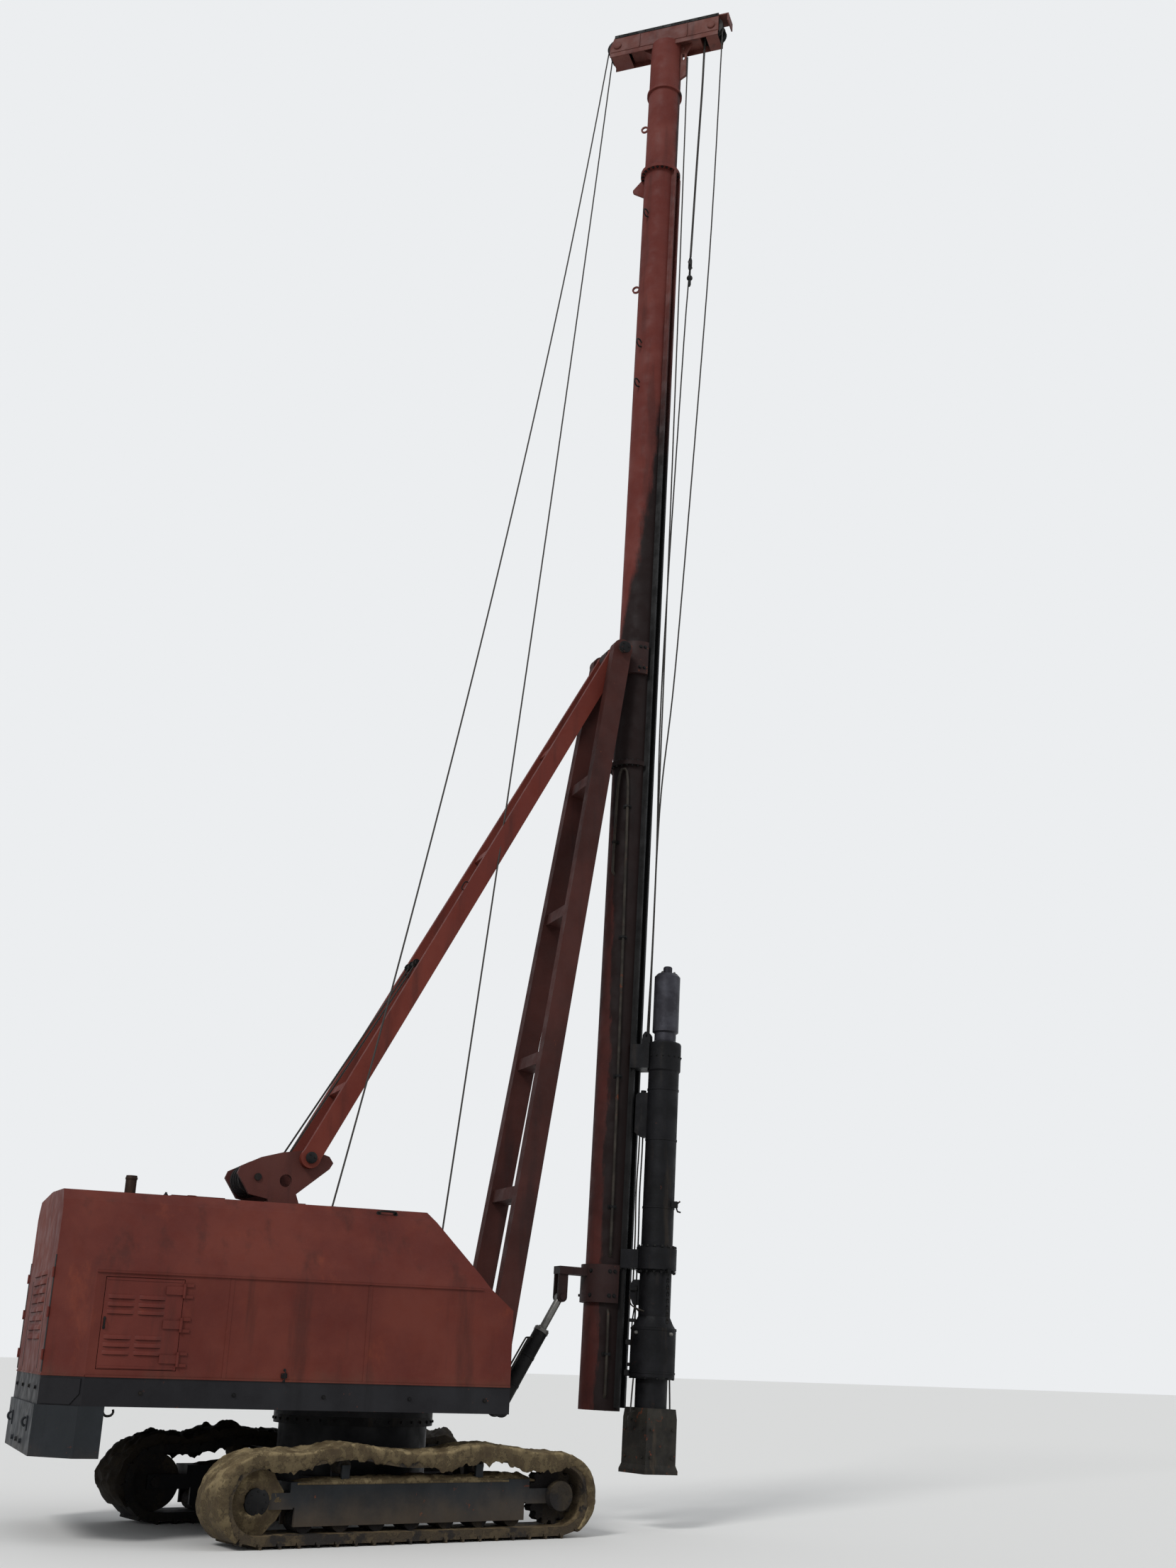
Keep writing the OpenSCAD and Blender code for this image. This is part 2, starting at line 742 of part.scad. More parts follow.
module boom()
    color([0.36, 0.20, 0.17]) centred()
        difference() {
            union() {
                for (side = [-1, 1])
                    ladder_side(boom_foot_at, head_pin_at, chord_w, chord_t,
                                side * boom_foot_gap / 2, side * boom_head_gap / 2, chord_t, chord_t);
                cross_plates(boom_foot_at, head_pin_at, chord_w, boom_foot_gap / 2 - 20,
                             boom_head_gap / 2 - 20, boom_plates, 150);
            }
            translate(boom_foot_at) pin_y(45, -900, 900);
            translate(head_pin_at) pin_y(pin_r + seat, -900, 900);
        }

module backstay()
    color([0.36, 0.20, 0.17]) centred()
        difference() {
            union() {
                for (side = [-1, 1])
                    ladder_side(stay_foot_at, head_pin_at, stay_w, stay_t,
                                side * stay_foot_y, side * stay_head_y, stay_t, stay_t);
                cross_plates(stay_foot_at, head_pin_at, stay_w, stay_foot_y - 20, stay_head_y - 20, stay_plates, 110);
            }
            translate(stay_foot_at) pin_y(45, -900, 900);
            translate(head_pin_at) pin_y(pin_r + seat, -900, 900);
        }

module head_pin()
    color([0.45, 0.45, 0.46]) centred() {
        translate(head_pin_at) pin_y(pin_r, -boom_head_gap / 2 - chord_t, boom_head_gap / 2 + chord_t);
        for (side = [-1, 1])
            translate([boom_foot_at[0], side * boom_foot_gap / 2, boom_foot_at[2]])
                pin_y(45 - seat, -chord_t / 2 - 50, chord_t / 2 + 50);
        translate(stay_foot_at) pin_y(45 - seat, -stay_foot_y - 70, stay_foot_y + 70);
    }

strut_gap = barrel_r + 5;

module strut_bracket()
    color([0.18, 0.19, 0.22]) centred() {
        for (side = [-1, 1])
            translate([front_x + seat, side * (strut_gap + 20) - 15, deck_z])
                cube([strut_foot_at[0] - front_x - seat, 30, 200]);
        for (side = [-1, 1])
            translate([strut_foot_at[0], side * (strut_gap + 20), strut_foot_at[2]]) pin_y(90, -15, 15);
        translate(strut_foot_at) pin_y(40, -strut_gap - 50, strut_gap + 50);
    }

// Collars that hold the leader: open in front, where the rails swing past
collar_open = 81;

module collar(h, r_out)
    difference() {
        cylinder(r = r_out, h = h);
        translate([0, 0, -1]) cylinder(r = tube_r + fit, h = h + 2);
        translate([0, 0, -1])
            linear_extrude(h + 2)
                polygon([[0, 0], 900 * [cos(collar_open), sin(collar_open)], [900, 900], [900, -900],
                         900 * [cos(collar_open), -sin(collar_open)]]);
    }

module head_collar()
    color([0.34, 0.19, 0.16]) centred()
        leaned()
            difference() {
                union() {
                    translate([0, 0, pin_z - 240]) collar(480, tube_r + 52);
                    translate([-pin_back, -110, pin_z - 120]) cube([pin_back - tube_r + 10, 220, 240]);
                    translate([-pin_back, 0, pin_z]) pin_y(120, -110, 110);
                }
                translate([0, 0, pin_z - 300]) cylinder(r = tube_r + fit, h = 600);
                translate([-pin_back, 0, pin_z]) pin_y(pin_r + fit, -200, 200);
            }

eye_gap = rod_r + 5;

module foot_collar()
    color([0.30, 0.18, 0.15]) centred()
        leaned() {
            difference() {
                union() {
                    translate([0, 0, 2480]) collar(440, tube_r + 52);
                    // Bracket that reaches back to the strut's eye
                    translate([strut_eye_local[0] - 60, -100, 2780]) cube([-strut_eye_local[0] + 60 - tube_r + 10, 200, 90]);
                    for (side = [-1, 1])
                        translate([strut_eye_local[0] - 60, side * (eye_gap + 15) - 15, strut_eye_local[2]])
                            cube([120, 30, 2790 - strut_eye_local[2]]);
                    for (side = [-1, 1])
                        translate([strut_eye_local[0], side * (eye_gap + 15), strut_eye_local[2]]) pin_y(60, -15, 15);
                }
                translate([0, 0, 2400]) cylinder(r = tube_r + fit, h = 600);
            }
            for (side = [-1, 1])
                translate([strut_eye_local[0], side * (eye_gap + 38), strut_eye_local[2]]) pin_y(35, -8, 8);
        }

// Leader

rail_top = head_z - 2620;
tube_rings = [[pin_z - 1585, 50, 60], [rail_top, 60, 60], [head_z - 1020, 30, 40]]; // height, reach past the tube, depth
tube_eyes = [rail_top - 2050, rail_top + 1040];
eye_r = 62;

// Half width of the hammer's guides
guide_half = rail_gap / 2 + 55;

module tube_ring(z, reach, h)
    translate([0, 0, z])
        difference() {
            cylinder(r = tube_r + reach, h = h);
            // Way of the rails and of the hammer's guides
            if (z < rail_top)
                translate([0, -guide_half - clear, -1]) cube([2 * tube_r, 2 * guide_half + 2 * clear, h + 2]);
        }

module leader_tube()
    color([0.36, 0.20, 0.17]) centred()
        turned()
            difference() {
                union() {
                    translate([0, 0, foot_z]) cylinder(r = tube_r, h = head_z - foot_z - seat);
                    for (ring = tube_rings) tube_ring(ring[0], ring[1], ring[2]);
                    for (z = tube_eyes)
                        translate([-tube_r - eye_r + 8, 0, z]) rotate([90, 0, 0])
                            translate([0, 0, -12]) cylinder(r = eye_r, h = 24, $fn = 24);
                    // Pointed bracket under the rails' top ring
                    translate([0, 25, rail_top]) rotate([90, 0, 0])
                        linear_extrude(50)
                            polygon([[-tube_r + 20, -330], [-tube_r - 190, -190], [-tube_r - 190, -150],
                                     [-tube_r - 50, 10], [-tube_r + 20, 10]]);
                }
                for (z = tube_eyes)
                    translate([-tube_r - eye_r + 8, 0, z]) rotate([90, 0, 0])
                        translate([0, 0, -20]) cylinder(r = eye_r - 24, h = 40, $fn = 24);
                translate([0, 0, foot_z + 40]) cylinder(r = tube_r - tube_wall, h = head_z - foot_z - 80);
                for (i = [0:7])
                    rotate([0, 0, i * 45]) translate([170, 0, foot_z - 1]) cylinder(r = 13, h = 42);
            }

module rail_section() {
    translate([200, -10]) square([rail_x - 200 - 20, 20]);
    translate([rail_x - 25, -30]) square([25, 60]);
}

module guide_rails()
    color([0.10, 0.10, 0.11]) centred()
        turned()
            difference() {
                for (side = [-1, 1])
                    translate([0, side * rail_gap / 2, foot_z + 40])
                        linear_extrude(rail_top - foot_z - 40 - seat) rail_section();
                translate([0, 0, foot_z]) cylinder(r = tube_r + 0.2, h = head_z);
            }

sheave_t = 80;
sheave_y = 85;
head_plate = 20;

// A plate in the leader's middle plane, cut from the outline that it is given
module mid_plate(t) translate([0, t / 2, 0]) rotate([90, 0, 0]) linear_extrude(t) children();

module head_beam_box() {
    inside = head_half - head_plate;
    difference() {
        translate([0, 0, head_z])
            mid_plate(2 * head_half)
                polygon([[-head_rear, 0], [-head_rear, 110], [-head_rear + 85, head_h], [head_front, head_h],
                         [head_front, 0]]);
        // Wells of the sheaves, open at the ends and below, and the ropes' way from one to the other
        for (s = sheaves)
            translate([s[1] > 0 ? s[1] - sheave_r - 20 : -head_rear - 10, -inside, head_z - 10])
                cube([(s[1] > 0 ? head_front - s[1] : head_rear + s[1]) + sheave_r + 40, 2 * inside,
                      head_h - head_plate + 10]);
        translate([sheaves[0][1], -sheave_y - 35, sheave_z + 0.87 * sheave_r - 20])
            cube([sheaves[1][1] - sheaves[0][1], 2 * sheave_y + 70, 55]);
    }
}

module leader_head()
    color([0.38, 0.22, 0.18]) centred()
        turned() {
            head_beam_box();
            // Hood in front, open below
            translate([head_front - 20, -hood_half, head_z + head_h - head_plate])
                cube([hood_front - head_front + 20, 2 * hood_half, head_plate]);
            translate([hood_front - head_plate, -hood_half, head_z + head_h - 150])
                cube([head_plate, 2 * hood_half, 150]);
            for (s = sheaves)
                translate([s[1], 0, sheave_z]) pin_y(45, -head_half - 25, head_half + 25);
            // Gusset behind the tube, and the rope bracket on the hammer's side with its two holes
            difference() {
                translate([0, 0, head_z]) {
                    mid_plate(160) polygon([[-tube_r - 110, 1], [-tube_r - 110, -20], [-tube_r + 30, -130], [-tube_r + 30, 1]]);
                    mid_plate(44)
                        difference() {
                            polygon([[tube_r - 30, 1], [430, 1], [345, -170], [345, -640], [tube_r, -700], [tube_r - 30, -700]]);
                            translate([tube_r + 45, -95]) circle(r = 30, $fn = 24);
                            polygon([[tube_r + 25, -330], [tube_r + 65, -310], [tube_r + 65, -210], [tube_r + 25, -190]]);
                        }
                }
                cylinder(r = tube_r + 0.2, h = head_z - 0.1);
            }
        }

module sheave_pair(x)
    turned()
        translate([x, 0, sheave_z])
            for (side = [-1, 1])
                translate([0, side * sheave_y - sheave_t / 2, 0])
                    rotate([-90, 0, 0]) sheave(sheave_r, sheave_t, 45 + fit);

module front_sheaves() color([0.15, 0.15, 0.16]) centred() sheave_pair(sheaves[1][1]);
module rear_sheaves() color([0.15, 0.15, 0.16]) centred() sheave_pair(sheaves[0][1]);

// Strut between the revolving frame and the foot collar

barrel_l = 1010;

module along_strut() translate(strut_foot_at) rotate([0, 90 - strut_angle, 0]) children();

module strut_barrel()
    color([0.15, 0.15, 0.16]) centred()
        along_strut()
            difference() {
                union() {
                    translate([0, 0, 60]) cylinder(r = barrel_r, h = barrel_l - 60);
                    pin_y(80, 1 - strut_gap, strut_gap - 1);
                    translate([-60, -50, 0]) cube([120, 100, 90]);
                }
                pin_y(40 + fit, -200, 200);
                translate([0, 0, 200]) cylinder(r = barrel_r - 22, h = barrel_l - 260);
                translate([0, 0, barrel_l - 80]) cylinder(r = rod_r + fit, h = 100);
            }

module strut_rod()
    color([0.55, 0.55, 0.56]) centred()
        along_strut()
            difference() {
                union() {
                    translate([0, 0, 520]) cylinder(r = rod_r, h = strut_len - 560);
                    translate([0, 0, 520]) cylinder(r = barrel_r - 22 - fit, h = 90);
                    translate([0, 0, strut_len]) pin_y(56, -eye_gap + 8, eye_gap - 8);
                }
                translate([0, 0, strut_len]) pin_y(35, -200, 200);
            }

// Hammer, drawn about its own axis

module hammer_at() turned() translate([hammer_x, 0, 0]) children();

// Outline of the cylinder: radius, height
flange_z = 2890;
flange_h = 250;
flange_r = 245;
collar_z = cylinder_top - 370;
collar_r = barrel_out + 16;
cylinder_rings = [
    [250, body_z], [270, body_z + 20], [270, body_z + 560], [230, body_z + 620], [barrel_out, body_z + 700],
    [barrel_out, flange_z - 30], [flange_r, flange_z], [flange_r, flange_z + flange_h],
    [barrel_out, flange_z + flange_h + 30], [barrel_out, collar_z], [collar_r, collar_z + 20],
    [collar_r, cylinder_top - 20], [collar_r - 10, cylinder_top]
];

module hammer_cylinder()
    color([0.10, 0.11, 0.12]) centred()
        hammer_at()
            rotate_extrude()
                polygon(concat([[0, body_z]], cylinder_rings, [[bore_r, cylinder_top], [bore_r, ram_foot_z], [0, ram_foot_z]]));

// Fuel tank between the rails and the cylinder, and the fuel pump low on the same side
tank_z = 4480;
tank_h = 540;
tank_reach = hammer_x - rail_x - 25;
pump_z = 2480;

module hammer_tank()
    color([0.12, 0.12, 0.13]) centred()
        hammer_at()
            difference() {
                union() {
                    translate([0, 0, tank_z])
                        mid_plate(180)
                            polygon([[-tank_reach, 50], [-tank_reach, tank_h - 30], [-tank_reach + 30, tank_h],
                                     [-barrel_out + 40, tank_h], [-barrel_out + 40, 0], [-tank_reach + 60, 0]]);
                    translate([0, 0, pump_z])
                        mid_plate(130)
                            polygon([[-tank_reach + 30, 90], [-tank_reach + 30, 230], [-tank_reach + 60, 290],
                                     [-barrel_out + 40, 290], [-barrel_out + 40, 0], [-tank_reach + 70, 0]]);
                    translate([-tank_reach + 70, 0, tank_z + tank_h - 1]) cylinder(r = 34, h = 40, $fn = 24);
                }
                translate([0, 0, body_z]) cylinder(r = barrel_out + 0.2, h = cylinder_top - body_z);
            }

// Guides on the rails: lower edge and height of each
guides = [[flange_z + 5, 220], [collar_z + 40, 300]];

module hammer_guides()
    color([0.11, 0.11, 0.12]) centred()
        turned()
            difference() {
                for (g = guides)
                    translate([rail_x - 52, -guide_half, g[0]])
                        cube([hammer_x - rail_x - 100, 2 * guide_half, g[1]]);
                // Slots for the rails, and room for the tube
                for (side = [-1, 1])
                    translate([0, side * rail_gap / 2, body_z])
                        linear_extrude(cylinder_top - body_z) {
                            translate([200, -10 - clear]) square([rail_x - 200, 20 + 2 * clear]);
                            translate([rail_x - 25 - guide_fit, -30 - guide_fit])
                                square([25 + 2 * guide_fit, 60 + 2 * guide_fit]);
                        }
                translate([0, 0, body_z]) cylinder(r = tube_r + 8, h = cylinder_top - body_z);
                translate([hammer_x, 0, body_z]) cylinder(r = flange_r + 0.2, h = flange_z + flange_h + 100 - body_z);
                translate([hammer_x, 0, collar_z - 100]) cylinder(r = collar_r + 0.2, h = cylinder_top - collar_z + 110);
            }

module anvil_block()
    color([0.13, 0.13, 0.14]) centred()
        hammer_at()
            translate([0, 0, anvil_z - 60]) cylinder(r = 190, h = body_z - anvil_z + 60 - seat);

// Helmet: a square box with a flared foot, sloped shoulders and a lug on two sides
helmet_half = pile_w / 2 + 75;

module helmet_side()
    mid_plate(3 * helmet_half)
        polygon([for (p = [[20, 0], [20, 40], [0, 100], [0, helmet_h - 110], [-12, helmet_h]])
                     [helmet_half + p[0], p[1]],
                 for (p = [[-12, helmet_h], [0, helmet_h - 110], [0, 100], [20, 40], [20, 0]])
                     [-helmet_half - p[0], p[1]]]);

module pile_helmet()
    color([0.14, 0.13, 0.12]) centred()
        hammer_at()
            rotate([0, 0, helmet_turn])
                difference() {
                    translate([0, 0, helmet_z])
                        union() {
                            intersection() {
                                helmet_side();
                                rotate([0, 0, 90]) helmet_side();
                            }
                            rotate([0, 0, 90])
                                mid_plate(50)
                                    polygon([for (side = [-1, 1])
                                                 for (p = [[20, 0.7], [100, 0.74], [105, 0.88], [20, 0.95]])
                                                     let (k = side > 0 ? p : [p[0], 1.65 - p[1]])
                                                         [side * (helmet_half + k[0]), k[1] * helmet_h]]);
                        }
                    translate([0, 0, anvil_z - 60 - seat]) cylinder(r = 190.3, h = 100);
                    translate([-pile_w / 2 - 8, -pile_w / 2 - 8, helmet_z - 1]) cube([pile_w + 16, pile_w + 16, 221]);
                    for (side = [-1, 1])
                        translate([0, side * (helmet_half + 62), helmet_z + 0.81 * helmet_h])
                            rotate([0, 90, 0]) cylinder(r = 24, h = 80, center = true, $fn = 24);
                }

module ram()
    color([0.16, 0.16, 0.17]) centred()
        hammer_at()
            rotate_extrude()
                polygon([[0, ram_foot_z + seat], [ram_r - 15, ram_foot_z + seat], [ram_r, ram_foot_z + 15],
                         [ram_r, cylinder_top + 10], [ram_r - 28, cylinder_top + 30], [ram_r - 28, cylinder_top + 125],
                         [ram_r, cylinder_top + 145], [ram_r, ram_top - 40], [ram_r - 35, ram_top],
                         [58, ram_top + 15], [58, ram_top + 85], [46, ram_top + 100], [0, ram_top + 100]]);

track_right();
track_left();
track_frame_right();
track_frame_left();
track_wheels();
carbody();
slew_ring();
deck();
counterweight();
house_right();
house_left();
house_rear();
house_front();
house_roof();
cab_partition();
cab_glass();
cab_door();
door_glass();
engine_door();
operator_seat();
control_stand();
engine_block();
winch_block();
exhaust_pipe();
gantry();
gantry_sheaves();
boom();
backstay();
head_pin();
strut_bracket();
head_collar();
foot_collar();
leader_tube();
guide_rails();
leader_head();
front_sheaves();
rear_sheaves();
strut_barrel();
strut_rod();
hammer_cylinder();
hammer_tank();
hammer_guides();
anvil_block();
pile_helmet();
ram();
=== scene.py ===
"""Looks of the pile driver rig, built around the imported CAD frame."""

import json
import math
from contextlib import contextmanager

import bmesh
import bpy
from mathutils import Matrix, Vector, noise


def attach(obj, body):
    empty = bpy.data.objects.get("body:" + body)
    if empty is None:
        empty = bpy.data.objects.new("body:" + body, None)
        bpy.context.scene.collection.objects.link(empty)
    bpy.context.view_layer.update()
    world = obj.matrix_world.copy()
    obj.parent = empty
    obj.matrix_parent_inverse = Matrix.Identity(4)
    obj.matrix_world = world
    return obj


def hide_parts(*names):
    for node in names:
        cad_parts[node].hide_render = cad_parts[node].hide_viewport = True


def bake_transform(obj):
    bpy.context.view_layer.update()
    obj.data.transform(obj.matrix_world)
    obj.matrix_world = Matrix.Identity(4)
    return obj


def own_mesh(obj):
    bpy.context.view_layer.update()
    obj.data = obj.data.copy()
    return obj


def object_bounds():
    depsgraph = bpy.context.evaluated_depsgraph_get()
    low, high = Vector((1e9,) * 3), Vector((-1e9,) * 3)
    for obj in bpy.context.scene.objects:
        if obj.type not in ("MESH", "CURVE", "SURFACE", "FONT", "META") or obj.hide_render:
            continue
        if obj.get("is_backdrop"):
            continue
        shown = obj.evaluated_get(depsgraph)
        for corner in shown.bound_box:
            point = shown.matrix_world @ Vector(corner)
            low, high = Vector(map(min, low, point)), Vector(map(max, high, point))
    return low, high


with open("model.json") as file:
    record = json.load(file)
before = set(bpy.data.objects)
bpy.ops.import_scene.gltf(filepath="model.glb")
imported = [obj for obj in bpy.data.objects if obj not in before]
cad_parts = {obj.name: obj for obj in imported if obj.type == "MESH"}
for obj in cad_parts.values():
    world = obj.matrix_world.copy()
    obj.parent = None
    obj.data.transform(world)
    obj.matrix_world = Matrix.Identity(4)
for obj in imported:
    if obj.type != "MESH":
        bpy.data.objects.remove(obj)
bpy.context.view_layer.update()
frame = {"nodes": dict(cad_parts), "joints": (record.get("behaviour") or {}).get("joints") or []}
JOINTS = {joint["name"]: joint for joint in frame["joints"]}
NODES = frame["nodes"]

# Driving dimensions in metres and degrees, as in the part's source
LEADER_TURN = math.radians(-43)
TUBE_R = 0.25
HAMMER_X = 0.64
HELMET_TURN = math.radians(-34)
HELMET_HALF = 0.225
SHEAVE_GROOVE_R = 0.161
SHEAVE_Y = 0.085
HEAD_Z, HEAD_H, HEAD_HALF = 22.02, 0.35, 0.165
HEAD_REAR, HEAD_FRONT = -0.93, 0.905
ROPE_R = 0.011
SIDE_Y, REAR_X, CREASE_X, FRONT_X = 1.55, -3.54, -3.17, 1.26
CORNER_Y = 1.18
DECK_Z, DECK_TOP, DRIP_Z, ROOF_Z = 1.25, 1.52, 2.52, 3.36
SLOPE_FOOT_X, SLOPE_RUN = 0.99, 0.7561
TRACK_RUN, AXLE_Z, PLATE_R, RIB_H = 1.78, 0.42, 0.39, 0.03
SHOE_Y, SHOE_W = 1.30, 0.56
HUMPS, HUMP_HALF, HUMP_RISE = (-0.8, 0.8), 0.70, 0.08

# Frames: the slew axis, the tracks, the leader's own axis and the hammer's axis
SLEW_X = JOINTS["house_slew"]["pos_m"][0]
_axis = Vector(JOINTS["leader_swivel"]["axis"])
_on_axis = Vector(JOINTS["leader_swivel"]["pos_m"])
LEADER_BASE = _on_axis - _axis * (_on_axis.z / _axis.z)
LEAN = math.atan2(_axis.x, _axis.z)
CARRIER = Matrix.Translation(LEADER_BASE) @ Matrix.Rotation(LEAN, 4, "Y")
MAST = CARRIER @ Matrix.Rotation(LEADER_TURN, 4, "Z")
HAMMER = MAST @ Matrix.Translation((HAMMER_X, 0, 0))
HELMET_AT = HAMMER @ Matrix.Rotation(HELMET_TURN, 4, "Z")
SLEW = Matrix.Translation((SLEW_X, 0, 0))
TRACKS = SLEW @ Matrix.Rotation(math.radians(12), 4, "Z")
MAST_X, MAST_Y, MAST_Z = (MAST.col[i].to_3d() for i in range(3))
FRONT_PIN, REAR_PIN = (MAST.inverted() @ Vector(JOINTS[name]["pos_m"])
                       for name in ("front_sheave_spin", "rear_sheave_spin"))


def mast(x, y, z):
    return MAST @ Vector((x, y, z))


def hammer(angle, r, z):
    """A point about the hammer's axis: angle from the side away from the leader, in degrees."""
    a = math.radians(angle)
    return HAMMER @ Vector((r * math.cos(a), r * math.sin(a), z))


def on_tube(angle, z, r=TUBE_R):
    """A point of the leader's tube: angle about its axis from the hammer's side, in degrees."""
    a = math.radians(angle)
    return mast(r * math.cos(a), r * math.sin(a), z)


def slew(x, y, z):
    return SLEW @ Vector((x, y, z))


# Materials


def srgb(r, g, b):
    """Linear colour of an sRGB one, 0 to 255."""
    out = []
    for c in (r, g, b):
        c /= 255
        out.append(c / 12.92 if c <= 0.04045 else ((c + 0.055) / 1.055) ** 2.4)
    return (*out, 1.0)


class Finish:
    """A node material under construction, drawn in the frame's own metres."""

    def __init__(self, name):
        self.material = bpy.data.materials.new(name)
        self.material.use_nodes = True
        self.tree = self.material.node_tree
        self.tree.nodes.clear()
        self.shader = self.add("BsdfPrincipled")
        self.tree.links.new(self.shader.outputs[0], self.add("OutputMaterial").inputs[0])
        self.where = self.add("TexCoord").outputs["Object"]

    def add(self, kind, **settings):
        node = self.tree.nodes.new("ShaderNode" + kind)
        for key, value in settings.items():
            setattr(node, key, value)
        return node

    def put(self, socket, value):
        if isinstance(value, bpy.types.NodeSocket):
            self.tree.links.new(value, socket)
        else:
            socket.default_value = value

    def math(self, operation, a, b=0.0, c=0.0):
        node = self.add("Math", operation=operation)
        for socket, value in zip(node.inputs, (a, b, c)):
            self.put(socket, value)
        return node.outputs[0]

    def noise(self, scale, detail=4.0, roughness=0.55, stretch=(1, 1, 1), shift=(0, 0, 0)):
        place = self.add("Mapping")
        self.put(place.inputs["Vector"], self.where)
        place.inputs["Scale"].default_value = stretch
        place.inputs["Location"].default_value = shift
        node = self.add("TexNoise")
        self.put(node.inputs["Vector"], place.outputs[0])
        for key, value in (("Scale", scale), ("Detail", detail), ("Roughness", roughness)):
            node.inputs[key].default_value = value
        return node.outputs["Fac"]

    def window(self, value, low, high, to_low=0.0, to_high=1.0):
        """Smooth step of value from low to high."""
        node = self.add("MapRange", interpolation_type="SMOOTHSTEP")
        for key, v in (("Value", value), ("From Min", low), ("From Max", high),
                       ("To Min", to_low), ("To Max", to_high)):
            self.put(node.inputs[key], v)
        return node.outputs[0]

    def mix(self, share, a, b, blend="MIX"):
        node = self.add("Mix", data_type="RGBA", blend_type=blend)
        self.put(node.inputs["Factor"], share)
        self.put(node.inputs[6], a)
        self.put(node.inputs[7], b)
        return node.outputs[2]

    def along(self, direction, origin):
        """Distance of the point from origin, along direction."""
        minus = self.add("VectorMath", operation="SUBTRACT")
        self.put(minus.inputs[0], self.where)
        minus.inputs[1].default_value = origin
        dot = self.add("VectorMath", operation="DOT_PRODUCT")
        self.put(dot.inputs[0], minus.outputs[0])
        dot.inputs[1].default_value = direction
        return dot.outputs["Value"]

    def bump(self, *layers):
        """layers are (height, distance) pairs, laid on one another."""
        last = None
        for height, distance in layers:
            node = self.add("Bump")
            node.inputs["Distance"].default_value = distance
            node.inputs["Strength"].default_value = 1.0
            self.put(node.inputs["Height"], height)
            if last is not None:
                self.put(node.inputs["Normal"], last)
            last = node.outputs[0]
        self.put(self.shader.inputs["Normal"], last)

    def surface(self, colour, roughness, **constants):
        self.put(self.shader.inputs["Base Color"], colour)
        self.put(self.shader.inputs["Roughness"], roughness)
        for key, value in constants.items():
            self.shader.inputs[key.replace("_", " ")].default_value = value
        return self.material


RUST = srgb(92, 48, 30)
SOOT = srgb(11, 10, 10)
DUST = srgb(88, 74, 58)


def painted(name, paint, faded, streak, chips=0.66, mud_top=None, gloss=0.52, dent=0.010, soot=None, rusty=0.0):
    """Old brushed paint: faded patches, rain streaks, chips down to rust, dust and clay from below."""
    f = Finish(name)
    patches = f.noise(0.9, 5, 0.6)
    streaks = f.noise(4.2, 4, 0.6, stretch=(1, 1, 0.12), shift=(3, 1, 0))
    fine = f.noise(34, 3, 0.6)
    colour = f.mix(f.window(patches, 0.38, 0.66), paint, faded)
    colour = f.mix(f.math("MULTIPLY", f.window(streaks, 0.50, 0.74), 0.6), colour, streak)
    colour = f.mix(f.math("MULTIPLY", f.window(fine, 0.45, 0.75), 0.16), colour, faded)
    if rusty:
        bloom = f.window(f.noise(1.6, 6, 0.7, stretch=(1, 1, 0.6), shift=(11, 4, 2)), 0.56, 0.74)
        colour = f.mix(f.math("MULTIPLY", bloom, rusty), colour, srgb(122, 58, 38))
    chip = f.math("MULTIPLY", f.window(f.noise(11, 6, 0.72, shift=(7, 2, 5)), chips, chips + 0.03),
                  f.window(f.noise(1.7, 2, shift=(1, 8, 3)), 0.46, 0.58))
    colour = f.mix(chip, colour, RUST)
    if mud_top is not None:
        height = f.add("SeparateXYZ")
        f.put(height.inputs[0], f.where)
        level = f.math("ADD", height.outputs["Z"], f.math("MULTIPLY", f.noise(3.0, 5, 0.65, shift=(5, 5, 5)), 0.5))
        splash = f.window(level, mud_top + 0.30, mud_top - 0.25)
        colour = f.mix(f.math("MULTIPLY", splash, 0.6), colour, DUST)
    if soot is not None:
        colour = f.mix(soot(f), colour, SOOT)
    rough = f.window(f.noise(5, 4, shift=(2, 9, 4)), 0.3, 0.7, gloss - 0.06, gloss + 0.18)
    f.bump((f.noise(1.3, 2, 0.5, shift=(4, 4, 1)), dent), (fine, 0.0012), (chip, -0.0012))
    return f.surface(colour, rough, Specular_IOR_Level=0.20)


